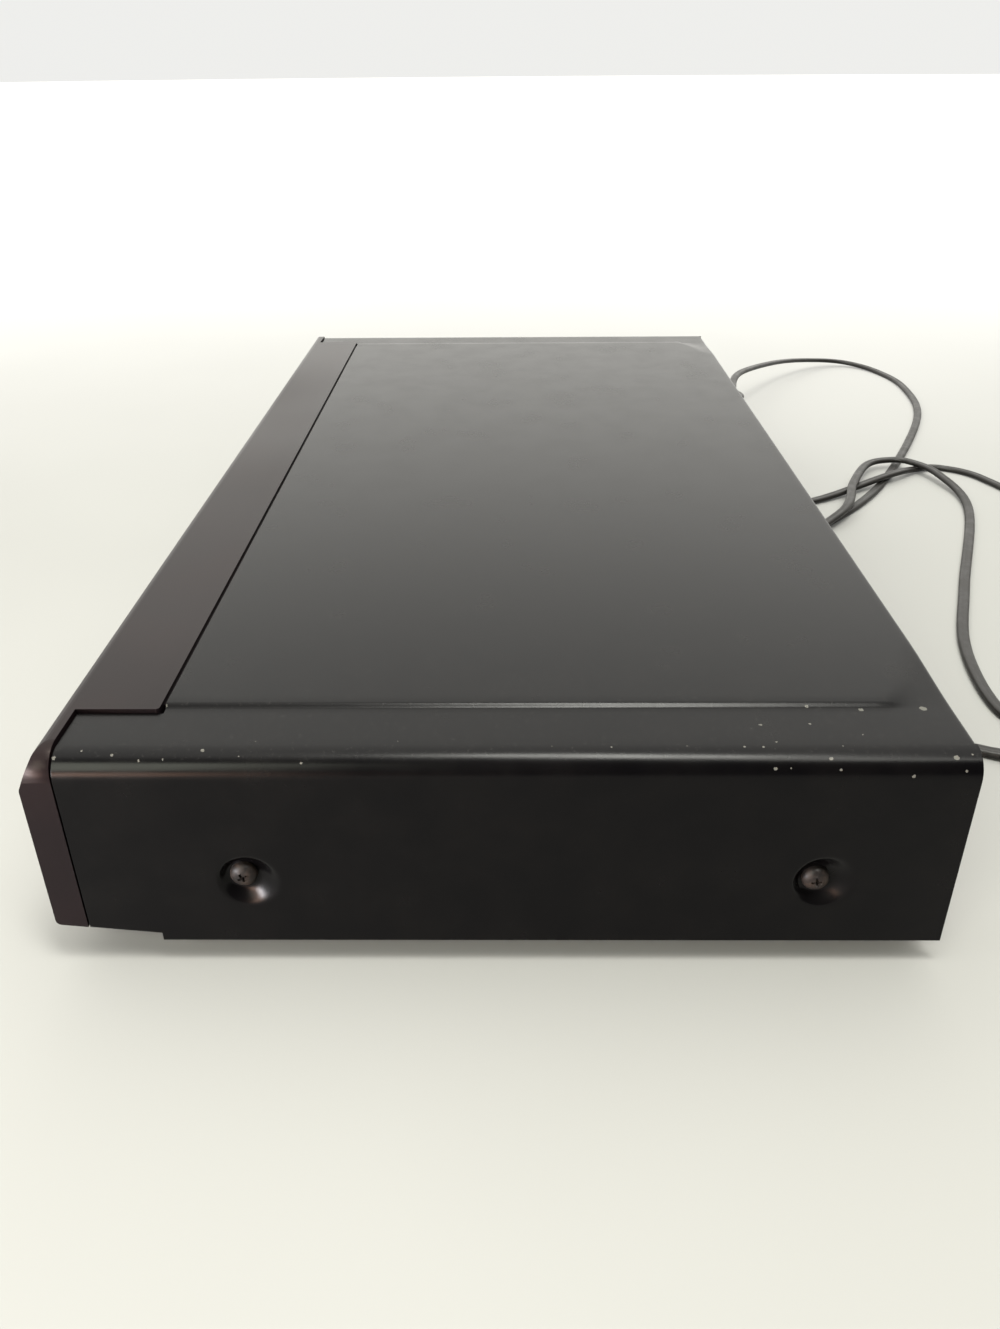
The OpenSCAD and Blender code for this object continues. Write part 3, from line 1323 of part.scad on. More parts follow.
module front_ribbon() {
    x = window_x - window_w / 2 - 11 + 33;
    y0 = front_y + board_v + board_t + 5;
    z0 = lip_z + 13;
    color(WHITE_PLASTIC) translate([x - 9, 0, 0]) along_x(0, 18)
        band([[y0, z0], [y0 + 8, z0], [y0 + 14, z0 + 12], [main_y - 6, z0 + 12], [main_y + 6.5, board_z + board_t + 10],
            [main_y + 6.5, board_z + board_t + 6]], 0.6);
    color(WHITE_PLASTIC) block([x - 11, main_y + 4, board_z + board_t], [x + 11, main_y + 9, board_z + board_t + 6]);
}

// Flat bundle of wires that crosses the loader behind the tray
module power_harness() {
    z = board_z + board_t + 8;
    x0 = power_board_x + power_w - 18;
    x1 = main_x + 7;
    y = main_y + 107;
    color([0.75, 0.12, 0.1]) along_y(y, y + 9)
        band([[x0, z - eps], [x0, harness_z - 8], [x0 + 5, harness_z], [x1 - 5, harness_z], [x1, harness_z - 8],
            [x1, z - eps]], 1.6);
    color(WHITE_PLASTIC) block([x0 - 4, y - 1, z - 8], [x0 + 4, y + 10, z]);
}

// ---------------------------------------------------------------- mains lead

module strain_relief() {
    color([0.05, 0.05, 0.05]) translate([cord_x, 0, cord_z]) {
        difference() {
            union() {
                front_plate(10, 9, 2.8, rear_panel_y - relief_in, rear_y - sheet_t + eps);
                front_plate(13, 12, 3.5, rear_panel_y - 3.5, rear_panel_y);
                front_plate(13, 12, 3.5, rear_y - sheet_t, rear_y + 1.5);
                for (k = [0:4]) {
                    y = rear_y + 1.5 + k * (relief_out - 1.5) / 5;
                    front_plate(10 - k * 0.8, 8 - k * 0.7, 2.4 - k * 0.2, y - eps, y + (relief_out - 1.5) / 5 * 0.62);
                    front_plate(7.4 - k * 0.3, 5.4 - k * 0.3, 2, y, y + (relief_out - 1.5) / 5 + eps);
                }
            }
            block([-20, cord_y, -20], [20, cord_y + 5, 20]);
        }
    }
}

// Point and direction on a smooth curve through the route's points
function route_point(p, i, t) =
    let (a = p[max(i - 1, 0)], b = p[i], c = p[i + 1], d = p[min(i + 2, len(p) - 1)])
    0.5 * (2 * b + (c - a) * t + (2 * a - 5 * b + 4 * c - d) * t * t + (3 * b - a - 3 * c + d) * t * t * t);

cord_steps = 2;
CORD_LINE = [
    for (i = [0:len(CORD_ROUTE) - 2], k = [0:cord_steps - 1]) route_point(CORD_ROUTE, i, k / cord_steps),
    CORD_ROUTE[len(CORD_ROUTE) - 1]
];

// One ring of the flat lead: its width level, its thickness up
function ring(p, dir, sides) =
    let (side = [dir[1], -dir[0], 0] / norm([dir[1], -dir[0], 0]), up = cross(side, dir / norm(dir)))
    [for (k = [0:sides - 1]) p + side * cos(k * 360 / sides) * cord_w / 2 + up * sin(k * 360 / sides) * cord_t / 2];

module power_cord() {
    sides = 8;
    n = len(CORD_LINE);
    points = [for (i = [0:n - 1]) each ring(CORD_LINE[i],
        CORD_LINE[min(i + 1, n - 1)] - CORD_LINE[max(i - 1, 0)], sides)];
    faces = concat(
        [[for (k = [sides - 1:-1:0]) k]],
        [for (i = [0:n - 2], k = [0:sides - 1]) let (a = i * sides + k, b = i * sides + (k + 1) % sides)
            each [[a, b, b + sides], [a, b + sides, a + sides]]],
        [[for (k = [0:sides - 1]) (n - 1) * sides + k]]);
    color([0.04, 0.04, 0.04]) polyhedron(points, faces);
}

module power_plug() {
    end = CORD_ROUTE[len(CORD_ROUTE) - 1];
    color([0.05, 0.05, 0.05]) translate([end[0], end[1], 0]) rotate(plug_turn) {
        translate([0, 0, end[2]]) {
            // sleeve, waist and grip of the moulded body
            along_y(0.1, 10) round_rect(8, 7, 3);
            along_y(10 - eps, 16) round_rect(14, 9, 4);
            along_y(16 - eps, plug_l) round_rect(plug_w, plug_h, 4);
        }
    }
    color(BRASS) translate([end[0], end[1], end[2]]) rotate(plug_turn)
        for (s = [-1, 1]) block([s * prong_pitch / 2 - 0.75, plug_l - eps, -3.2], [s * prong_pitch / 2 + 0.75, plug_l + prong_l, 3.2]);
}

// ---------------------------------------------------------------- nodes

top_cover();
front_bezel();
chassis_base();
rear_panel();
foot_front_left();
foot_front_right();
foot_rear_left();
foot_rear_right();
foot_pads();
cover_screws();
rear_screws();
board_screws();
loader_screws();
display_window();
display_module();
standby_light();
front_board();
key_switches();
power_button();
open_close_button();
play_button();
pause_button();
stop_button();
skip_back_button();
skip_forward_button();
loader_frame();
disc_tray();
tray_door();
drive_gear();
pulley_gear();
drive_belt();
loading_motor();
motor_pulley();
cam_slider();
clamp_bridge();
clamper();
traverse_frame();
spindle_motor();
turntable();
guide_rods();
pickup_sled();
lens_holder();
lead_screw();
sled_motor();
main_board();
main_parts();
power_board();
transformer();
power_capacitors();
heat_sink();
phono_jacks();
video_jack();
loader_ribbon();
front_ribbon();
power_harness();
strain_relief();
power_cord();
power_plug();
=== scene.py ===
"""Looks of the disc player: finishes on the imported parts, and the pieces that need a finer mesh than the frame has.

Everything is in metres, in the frame's own place: X along the front, Y to the rear, Z up from the floor.
"""

import json
import math

import bmesh
import bpy
from mathutils import Matrix, Vector


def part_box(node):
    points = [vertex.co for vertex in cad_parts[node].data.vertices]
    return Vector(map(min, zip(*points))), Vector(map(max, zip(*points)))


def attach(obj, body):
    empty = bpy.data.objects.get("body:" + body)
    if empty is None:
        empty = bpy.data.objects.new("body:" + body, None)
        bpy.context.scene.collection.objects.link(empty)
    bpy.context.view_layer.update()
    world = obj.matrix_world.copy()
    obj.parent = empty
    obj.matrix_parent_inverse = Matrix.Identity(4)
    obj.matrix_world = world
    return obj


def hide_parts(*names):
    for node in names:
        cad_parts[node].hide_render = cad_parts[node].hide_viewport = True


MM = 0.001

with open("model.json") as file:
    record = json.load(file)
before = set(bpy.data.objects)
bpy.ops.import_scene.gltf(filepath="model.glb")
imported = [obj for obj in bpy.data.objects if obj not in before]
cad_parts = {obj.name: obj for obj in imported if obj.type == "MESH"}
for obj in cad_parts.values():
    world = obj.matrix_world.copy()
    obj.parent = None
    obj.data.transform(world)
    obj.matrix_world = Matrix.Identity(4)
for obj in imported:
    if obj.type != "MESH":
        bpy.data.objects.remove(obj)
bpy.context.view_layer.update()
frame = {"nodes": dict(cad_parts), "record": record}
NODES = frame["nodes"]

# ---------------------------------------------------------------- sizes, from the frame and the part's own source

cover_lo, cover_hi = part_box("top_cover")
HALF_W = cover_hi.x
REAR_Y = cover_hi.y
FRONT_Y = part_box("front_bezel")[0].y
SIDE_FRONT_Y = cover_lo.y
LIP_Z = cover_lo.z
REAR_PANEL_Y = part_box("rear_panel")[1].y

SHEET_T = 0.8 * MM           # the cover's sheet
CUT_ROUND = 0.3 * MM         # rounding of its cut edges
BEND_R = 6.5 * MM            # its side bends
REAR_BEND_R = 1.2 * MM       # its rear bend, and the lip that hangs below the sheet there
REAR_LIP = 9 * MM
REAR_BEND_Y = REAR_Y - REAR_BEND_R

PANEL_RISE = 1.0 * MM        # the embossed panel, above the flats at its sides
TOP_Z = cover_hi.z - PANEL_RISE
PANEL_FOOT_X = HALF_W - 22 * MM
PANEL_SLOPE = 2 * MM         # width of its side slope, and at the rear bend, where it fades out
PANEL_FADE = 34 * MM
PANEL_REAR = 16 * MM         # the fade's length

SEAM = 0.4 * MM              # gap beside the bezel's flange
SEAM_OPEN = 0.8 * MM         # how far behind the seam's line the top's turned edge shows
SEAM_Y = FRONT_Y + 29 * MM   # that line, along the flange's rear edge; its ends lie this far in from the sides
FLANGE_INSET = 20.7 * MM

DISH_Z = LIP_Z + 19.5 * MM   # the pressed dishes that the side screws sit in
DISH_YS = (FRONT_Y + 51 * MM, REAR_Y - 32 * MM)
DISH_DEPTH = 2.4 * MM
DISH_SEAT_R = 3.8 * MM       # flat seat, and the rolled edge it rises to
DISH_EDGE_R = 8.2 * MM
DISH_SHIFT_RS = (3.4 * MM, 8.9 * MM)    # radii between which the seat's shift fades out
SEAT_SHIFTS = dict(zip(DISH_YS, ((-1.6 * MM, 1.1 * MM), (-1.9 * MM, -0.2 * MM))))
SCREW_HOLE_R = 1.7 * MM

CHIN_Z = LIP_Z + 5.3 * MM    # the sloping chin, from front to step
CHIN_STEP_Z = LIP_Z + 2.4 * MM
CHIN_D = 26.5 * MM

CORD_W = 4.6 * MM
CORD_T = 2.6 * MM
CORD_ROUTE_MM = [            # out of the strain relief, through its loops on the floor and to the plug
    (-196, 121, 30), (-199, 128, 29.6), (-208, 135, 28.4), (-232, 135, 26.7), (-275, 148, 25), (-342, 188, 15),
    (-381, 225, 6.5), (-387, 250, 3), (-367, 267, 1.5), (-324, 273, 1.5), (-253, 259, 1.5), (-138, 203, 1.5),
    (-81, 160, 1.5), (-69, 138, 1.5), (-75, 124, 1.5), (-86, 119, 1.5), (-100, 126, 1.7), (-108, 158, 1.6),
    (-137, 204, 4.6), (-153, 224, 2.4), (-158, 240, 1.5), (-141, 257, 1.5), (-92, 266, 1.5), (-20, 242, 1.5),
    (88, 212, 1.5), (110, 191, 1.5), (99, 173, 1.5), (52, 177, 1.5), (-4, 197, 1.5), (-96, 233, 1.6),
    (-137, 232, 4.8), (-157, 223, 5.2), (-162, 212, 4.8), (-153, 197, 5), (-119, 180, 6.2), (-87, 168, 6.3),
    (-37, 136, 1.9), (88, 130, 1.6), (123, 159, 1.8), (129.5, 200, 6),
]


# ---------------------------------------------------------------- camera

CAMERA_PLACE = Vector((415.75, 0.1, 203.25)) * MM
CAMERA_YAW, CAMERA_PITCH, CAMERA_ROLL = -0.0131, 0.5198, -0.0083
FOCAL_PX, IMAGE_H_PX = 1061.68, 1329
SENSOR_MM = 36.0


def place_camera():
    """Beyond the right-hand end of the case, about 30 degrees down."""
    level = math.cos(CAMERA_PITCH)
    ahead = Vector((-math.cos(CAMERA_YAW) * level, math.sin(CAMERA_YAW) * level, -math.sin(CAMERA_PITCH)))
    right = ahead.cross(Vector((0, 0, 1))).normalized()
    up = right.cross(ahead)
    rolled_right = math.cos(CAMERA_ROLL) * right + math.sin(CAMERA_ROLL) * up
    rolled_up = math.cos(CAMERA_ROLL) * up - math.sin(CAMERA_ROLL) * right
    turn = Matrix((rolled_right, rolled_up, -ahead)).transposed()
    data = bpy.data.cameras.new("camera")
    data.sensor_width = SENSOR_MM
    data.lens = FOCAL_PX * SENSOR_MM / IMAGE_H_PX
    data.clip_start, data.clip_end = 0.01, 50
    camera = bpy.data.objects.new("camera", data)
    camera.matrix_world = Matrix.Translation(CAMERA_PLACE) @ turn.to_4x4()
    bpy.context.scene.collection.objects.link(camera)
    bpy.context.scene.camera = camera


place_camera()


# ---------------------------------------------------------------- mesh tools

new_pieces = []


def mesh_object(name, mesh, body, slot, smooth=True):
    """An object that rides on a body; its slot's finish is put on once all the pieces are made."""
    obj = bpy.data.objects.new(name, mesh)
    bpy.context.scene.collection.objects.link(obj)
    if smooth:
        mesh.shade_smooth()
    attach(obj, body)
    new_pieces.append((obj, slot))
    return obj


def mesh_from(name, points, faces):
    mesh = bpy.data.meshes.new(name)
    mesh.from_pydata([tuple(p) for p in points], [], faces)
    mesh.update()
    return mesh


def closed_mesh(name, points, faces):
    """A mesh without openings, its faces turned to look outward."""
    mesh = mesh_from(name, points, faces)
    bm = bmesh.new()
    bm.from_mesh(mesh)
    bmesh.ops.recalc_face_normals(bm, faces=bm.faces)
    bm.to_mesh(mesh)
    bm.free()
    return mesh


def ruled(*stops):
    """Positions from (value, intervals to the next stop) pairs; the last stop is a plain value."""
    out = []
    for (start, count), following in zip(stops, stops[1:]):
        end = following[0] if isinstance(following, tuple) else following
        out += [start + (end - start) * k / count for k in range(count)]
    return out + [stops[-1]]


def catmull(points, steps):
    """A smooth line through the points, with this many steps between each two."""
    line = []
    for i in range(len(points) - 1):
        a, b = points[max(i - 1, 0)], points[i]
        c, d = points[i + 1], points[min(i + 2, len(points) - 1)]
        for k in range(steps):
            t = k / steps
            line.append(0.5 * (2 * b + (c - a) * t + (2 * a - 5 * b + 4 * c - d) * t * t
                               + (3 * b - a - 3 * c + d) * t ** 3))
    return line + [points[-1]]


def smooth_step(t):
    """0 below 0, 1 above 1, and an S-shaped rise between."""
    t = min(max(t, 0.0), 1.0)
    return t * t * (3 - 2 * t)


def tube(name, rings):
    """A closed mesh through rings of equally many points, with a face at each end."""
    n = len(rings[0])
    points = [p for ring in rings for p in ring]
    faces = [(i * n + k, i * n + (k + 1) % n, (i + 1) * n + (k + 1) % n, (i + 1) * n + k)
             for i in range(len(rings) - 1) for k in range(n)]
    faces.append(tuple(range(n - 1, -1, -1)))
    faces.append(tuple((len(rings) - 1) * n + k for k in range(n)))
    return closed_mesh(name, points, faces)


def add_prism(points, faces, lower, upper, ends=None):
    """Adds a prism between two like outlines; ends are the faces that fill one, if a single face won't."""
    first, n = len(points), len(lower)
    points += lower + upper
    for end in ends or [range(n)]:
        faces.append(tuple(first + k for k in end))
        faces.append(tuple(first + n + k for k in reversed(end)))
    faces += [(first + k, first + n + k, first + n + (k + 1) % n, first + (k + 1) % n) for k in range(n)]


# ---------------------------------------------------------------- mains lead

CORE_POINTS = 10             # points round each core of the lead, over this much to each side of its outer end
CORE_REACH = 118
CORD_STEPS = 9               # rings between two points of the route


def twin_section():
    """Outline of a flat twin lead: two round cores joined by a shallow groove, (across, up) in metres."""
    core_r = CORD_T / 2
    centre = CORD_W / 2 - core_r
    right = [(centre + core_r * math.cos(a), core_r * math.sin(a))
             for a in (math.radians(-CORE_REACH + 2 * CORE_REACH * k / (CORE_POINTS - 1)) for k in range(CORE_POINTS))]
    return right + [(-x, -z) for x, z in right]


def build_cord():
    """The lead and the line along its middle."""
    route = [Vector(p) * MM for p in CORD_ROUTE_MM]
    line = catmull(route, CORD_STEPS)
    section = twin_section()
    rings = []
    for i, p in enumerate(line):
        ahead = (line[min(i + 1, len(line) - 1)] - line[max(i - 1, 0)]).normalized()
        side = ahead.cross(Vector((0, 0, 1))).normalized()
        up = side.cross(ahead)
        rings.append([p + side * x + up * z for x, z in section])
    cord = mesh_object("mains_lead", tube("mains_lead", rings), "case", "cord_black")
    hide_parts("power_cord")
    return cord, line


# ---------------------------------------------------------------- plug and strain relief

PLUG_TURN = math.radians(-4)
PLUG_LENGTH = 30 * MM
PRONG_PITCH = 12.7 * MM
PRONG_LENGTH = 17.5 * MM
PRONG_ROOT = -1.2 * MM       # where a prong starts inside the plug's face
PRONG_HALF_W = 3.2 * MM
PRONG_HALF_T = 0.75 * MM
RELIEF_IN = 9 * MM
RELIEF_OUT = 12 * MM
RIBS = 4                     # on the plug's sleeve, on its grip and on the relief's tail
RING_POINTS = 40
MOULD_EDGE = math.radians(40)


def rounded_ring(width, height, power):
    """A closed outline between an ellipse (power 2) and a rectangle, (across, up)."""
    ring = []
    for k in range(RING_POINTS):
        c, s = math.cos(math.tau * k / RING_POINTS), math.sin(math.tau * k / RING_POINTS)
        ring.append((math.copysign(abs(c) ** (2 / power), c) * width / 2,
                     math.copysign(abs(s) ** (2 / power), s) * height / 2))
    return ring


def moulding(name, replaced, stops, place, turn=0.0):
    """A black moulded piece along +Y through (distance, width, height, power) stops, in mm."""
    c, s = math.cos(turn), math.sin(turn)
    rings = [[Vector((c * x - s * y * MM, s * x + c * y * MM, z)) + place
              for x, z in rounded_ring(w * MM, h * MM, p)] for y, w, h, p in stops]
    obj = mesh_object(name, tube(name, [ring[::-1] for ring in rings]), "case", "plug_black")
    obj.data.set_sharp_from_angle(angle=MOULD_EDGE)
    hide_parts(replaced)
    return obj


def plug_stops():
    """A two-pole plug: a ribbed sleeve that widens into a waisted grip with finger ridges."""
    stops = [(0.1, 5.6, 4.4, 2.4), (0.5, 6.4, 5.2, 2.4)]
    for k in range(RIBS):
        w, h = 6.8 + 0.7 * k, 5.6 + 0.45 * k
        y = 1.2 + 2.3 * k
        stops += [(y, w, h, 2.6), (y + 1.3, w + 0.2, h + 0.2, 2.6), (y + 1.6, w - 1.2, h - 1.0, 2.6),
                  (y + 2.1, w - 1.1, h - 0.9, 2.6)]
    stops += [(10.6, 9.6, 7.4, 2.8), (13, 12, 8.2, 3), (16, 17, 9.6, 3.4), (18.5, 21, 10.8, 4)]
    for k in range(RIBS):
        y = 19.5 + 2 * k
        stops += [(y, 22.4, 11.7, 4.5), (y + 0.9, 22.6, 11.7, 4.5),
                  (y + 1.2, 21.9, 11, 4.5), (y + 1.7, 21.9, 11, 4.5)]
    return stops + [(27.6, 23.6, 11.9, 5), (29.4, 23.8, 12, 5), (29.8, 23.5, 11.7, 5), (30, 22.8, 11, 5)]


def relief_stops():
    """A grommet gripped by the rear panel, then a ribbed tail that tapers along the lead."""
    inner, outer = -RELIEF_IN / MM, RELIEF_OUT / MM
    stops = [(inner, 9.2, 8.2, 4), (inner + 0.4, 10, 9, 4), (-3.7, 10, 9, 4), (-3.5, 12.4, 11.4, 4),
             (-3.2, 13, 12, 4), (-0.3, 13, 12, 4), (0, 12.4, 11.4, 4), (0.05, 10, 9, 4), (0.75, 10, 9, 4),
             (0.8, 12.4, 11.4, 4), (1.1, 13, 12, 4), (2.4, 13, 12, 4), (2.8, 12.2, 11.2, 4)]
    pitch = (outer - 3.2) / RIBS
    for k in range(RIBS):
        y, w, h = 3.0 + k * pitch, 9.4 - 0.8 * k, 7.6 - 0.8 * k
        stops += [(y, w - 1.6, h - 1.5, 3.4), (y + 0.35 * pitch, w - 1.7, h - 1.6, 3.4),
                  (y + 0.42 * pitch, w - 0.2, h - 0.2, 3.6), (y + 0.88 * pitch, w - 0.4, h - 0.4, 3.6)]
    return stops + [(outer, 5.4, 3.6, 3)]


def build_prongs(place):
    """Two flat blades with round tips, whose roots lie in the plug's face."""
    c, s = math.cos(PLUG_TURN), math.sin(PLUG_TURN)
    blade = [(-PRONG_HALF_W, PRONG_ROOT), (PRONG_HALF_W, PRONG_ROOT)]            # up, along
    blade += [(PRONG_HALF_W * math.cos(a), PRONG_LENGTH - PRONG_HALF_W + PRONG_HALF_W * math.sin(a))
              for a in (math.pi * k / 10 for k in range(11))]
    points, faces = [], []
    for side in (-1, 1):
        sides = []
        for x in (-PRONG_HALF_T, PRONG_HALF_T):
            at = [(side * PRONG_PITCH / 2 + x, PLUG_LENGTH + along, up) for up, along in blade]
            sides.append([place + Vector((c * u - s * v, s * u + c * v, up)) for u, v, up in at])
        add_prism(points, faces, *sides)
    prongs = mesh_object("plug_prongs", closed_mesh("plug_prongs", points, faces), "case", "pulley_brass", smooth=False)
    rounded = prongs.modifiers.new("edges", "BEVEL")
    rounded.width, rounded.segments, rounded.limit_method = 0.25 * MM, 2, "ANGLE"
    return prongs


start_x, _, start_z = CORD_ROUTE_MM[0]
plug_place = Vector(CORD_ROUTE_MM[-1]) * MM
plug_body = moulding("plug_body", "power_plug", plug_stops(), plug_place, PLUG_TURN)
plug_prongs = build_prongs(plug_place)
cord_relief = moulding("cord_relief", "strain_relief", relief_stops(),
                       Vector((start_x * MM, REAR_PANEL_Y, start_z * MM)))
cord, cord_line = build_cord()


# ---------------------------------------------------------------- materials

CHIPS_MM = [                 # larger chips in the paint at the right-hand end: place and radius
    (212.2, -107, 61.7, 0.5), (210.5, -101, 62.5, 0.3), (211.6, -93.5, 62.2, 0.35), (212.8, -87, 61.4, 0.35),
    (212.6, -81.5, 61.6, 0.3), (210.4, -72.5, 62.7, 0.45), (213.2, -49, 61.0, 0.3), (214.0, 61, 59.9, 0.4),
    (214.8, 93, 58.2, 0.4), (212.5, 74, 61.7, 0.45), (212.3, 103, 61.8, 0.6), (200.2, 60, 63, 0.4),
    (207.6, 62.3, 63, 0.35), (199.8, 72, 63, 0.35), (204.5, 83.4, 63, 0.3), (193.0, 101.5, 63.3, 0.9),
    (193.4, 86, 63.2, 0.7), (192.4, 73, 63.4, 0.45), (192.0, -86.2, 63.6, 0.5),
]
RAGGED_MM = 0.9              # how far a chip's outline wanders
SPECK_CELLS = 420.0          # cells to the metre, each of which may hold a small speck
SPECK_SHARE = 0.3            # most of the cells that do, and the largest speck against its cell
SPECK_SIZE = 0.55
DUST = (0.16, 0.155, 0.145)
BARE = (0.075, 0.073, 0.064)


class Nodes:
    """A node tree under construction. A node's inputs are numbers, colours or other nodes' sockets."""

    def __init__(self, tree):
        self.tree = tree

    def set(self, node, inputs):
        for key, value in inputs.items():
            if isinstance(value, bpy.types.NodeSocket):
                self.tree.links.new(value, node.inputs[key])
            else:
                node.inputs[key].default_value = value

    def add(self, kind, inputs=None, **settings):
        node = self.tree.nodes.new(kind)
        for key, value in settings.items():
            setattr(node, key, value)
        self.set(node, inputs or {})
        return node

    def math(self, operation, a, b=0.0):
        return self.add("ShaderNodeMath", {0: a, 1: b}, operation=operation).outputs[0]

    def product(self, a, b):
        return self.math("MULTIPLY", a, b)

    def vector(self, operation, a, b):
        """A vector for a sum or a product, a number for a distance or a dot product."""
        node = self.add("ShaderNodeVectorMath", {0: a, 1: b}, operation=operation)
        return node.outputs["Value" if operation in ("DISTANCE", "DOT_PRODUCT") else "Vector"]

    def split(self, vector):
        """The X, Y and Z of a vector, by name."""
        return self.add("ShaderNodeSeparateXYZ", {0: vector}).outputs

    def ramp(self, value, low, high, out_low=0.0, out_high=1.0):
        """Maps low..high to out_low..out_high, with soft ends."""
        inputs = {"Value": value, "From Min": low, "From Max": high, "To Min": out_low, "To Max": out_high}
        return self.add("ShaderNodeMapRange", inputs, interpolation_type="SMOOTHSTEP").outputs["Result"]


class Finish(Nodes):
    """A material under construction, with its texture nodes in the object's own place."""

    def __init__(self, name, color, roughness, metallic=0.0, level=0.5, **constants):
        self.material = bpy.data.materials.new(name)
        self.material.use_nodes = True
        super().__init__(self.material.node_tree)
        self.shader = self.tree.nodes["Principled BSDF"]
        self.set(self.shader, {"Base Color": (*color, 1), "Roughness": roughness, "Metallic": metallic,
                               "Specular IOR Level": level, **constants})
        self.where = self.add("ShaderNodeTexCoord").outputs["Object"]

    def stretch(self, scale):
        return self.add("ShaderNodeMapping", {"Vector": self.where, "Scale": scale}).outputs[0]

    def noise(self, scale, detail=2.0, roughness=0.5, where=None):
        inputs = {"Vector": where or self.where, "Scale": scale, "Detail": detail, "Roughness": roughness}
        return self.add("ShaderNodeTexNoise", inputs).outputs["Fac"]

    def mix(self, share, a, b):
        """Colour a where share is 0 and b where it is 1."""
        a, b = ((*color, 1) if isinstance(color, tuple) else color for color in (a, b))
        return self.add("ShaderNodeMix", {0: share, 6: a, 7: b}, data_type="RGBA").outputs[2]

    def bump(self, height, distance, under=None):
        inputs = {"Height": height, "Distance": distance, "Strength": 1.0}
        if under is not None:
            inputs["Normal"] = under
        return self.add("ShaderNodeBump", inputs).outputs["Normal"]

    def chips(self):
        """Worn paint, 1 inside a speck: small ones strewn along the side bends, and the larger ones listed above."""
        place = self.split(self.where)
        at_side = self.ramp(self.math("ABSOLUTE", place["X"]), HALF_W - 16 * MM, HALF_W - 5 * MM)
        at_top = self.ramp(place["Z"], TOP_Z - 8 * MM, TOP_Z - 2 * MM)
        at_rear = self.ramp(place["Y"], SIDE_FRONT_Y, REAR_Y, 0.4, 1.0)
        share = self.product(self.product(at_side, at_top), self.product(at_rear, SPECK_SHARE))
        cells = self.add("ShaderNodeTexVoronoi", {"Vector": self.where, "Scale": SPECK_CELLS})
        chance = self.add("ShaderNodeSeparateColor", {0: cells.outputs["Color"]}).outputs[0]
        size = self.product(self.math("SUBTRACT", chance, self.math("SUBTRACT", 1.0, share)), SPECK_SIZE)
        worn = self.math("LESS_THAN", cells.outputs["Distance"], size)
        ragged = self.vector("MULTIPLY", self.noise(1400, 2), (RAGGED_MM * MM,) * 3)
        moved = self.vector("ADD", self.where, ragged)
        for *centre_mm, r in CHIPS_MM:
            centre = tuple((c + RAGGED_MM / 2) * MM for c in centre_mm)
            worn = self.math("MAXIMUM", worn, self.math("LESS_THAN", self.vector("DISTANCE", moved, centre), r * MM))
        return worn


def painted_steel(name, color, roughness, tint, level):
    """Satin stove enamel on sheet: a fine leathery skin, dust that lies on top, and specks where it is chipped."""
    f = Finish(name, color, roughness, level=level)
    cloud = f.noise(60, 4, 0.6)
    facing_up = f.split(f.add("ShaderNodeTexCoord").outputs["Normal"])["Z"]
    dust = f.product(f.ramp(f.noise(900, 5, 0.7), 0.55, 0.8, 0.0, 0.07), f.ramp(facing_up, 0.6, 0.95))
    enamel = f.mix(f.ramp(cloud, 0.35, 0.7), color, tint)
    f.set(f.shader, {
        "Base Color": f.mix(f.chips(), f.mix(dust, enamel, DUST), BARE),
        "Roughness": f.ramp(cloud, 0.3, 0.75, roughness - 0.02, roughness + 0.03),
        "Normal": f.bump(f.noise(1500, 2), 0.007 * MM, under=f.bump(f.noise(11, 1), 0.02 * MM)),
    })
    return f.material


def moulded_plastic(name, color, roughness, grain=0.012, tint=None, level=0.5, gloss_tint=(1, 1, 1)):
    """Spark-eroded moulded plastic: a fine even grain this many mm deep, with slight handling polish."""
    f = Finish(name, color, roughness, level=level, **{"Specular Tint": (*gloss_tint, 1)})
    other = tint or tuple(c * 1.35 for c in color)
    f.set(f.shader, {
        "Base Color": f.mix(f.ramp(f.noise(30, 3), 0.3, 0.75), color, other),
        "Roughness": f.ramp(f.noise(7, 2), 0.3, 0.7, roughness - 0.06, roughness + 0.04),
        "Normal": f.bump(f.noise(2600, 3, 0.6), grain * MM),
    })
    return f.material


def plated_metal(name, color, roughness, streak=(1, 1, 12), tint=None):
    """Plated or rolled metal: fine streaks along the rolling direction and a cloudy passivation tint."""
    f = Finish(name, color, roughness, metallic=1.0)
    streaks = f.noise(260, 4, 0.6, f.stretch(streak))
    other = tint or tuple(c * 0.8 for c in color)
    f.set(f.shader, {
        "Base Color": f.mix(f.ramp(f.noise(35, 3), 0.35, 0.7), color, other),
        "Roughness": f.ramp(streaks, 0.3, 0.7, roughness - 0.08, roughness + 0.1),
        "Normal": f.bump(streaks, 0.01 * MM),
    })
    return f.material


def black_oxide(name, color, roughness, level):
    """Blackened steel: an oily dark skin, brown where the oxide is thin and bright where a driver has rubbed it."""
    f = Finish(name, color, roughness, level=level)
    cloud = f.noise(420, 3)
    worn = f.ramp(f.noise(900, 4, 0.7), 0.6, 0.75, 0.0, 0.3)
    brown = f.mix(f.ramp(cloud, 0.4, 0.7), color, (0.02, 0.014, 0.011))
    f.set(f.shader, {
        "Base Color": f.mix(worn, brown, (0.07, 0.065, 0.06)),
        "Roughness": f.ramp(cloud, 0.3, 0.7, roughness - 0.06, roughness + 0.12),
        "Normal": f.bump(f.noise(1800, 2), 0.01 * MM),
    })
    return f.material


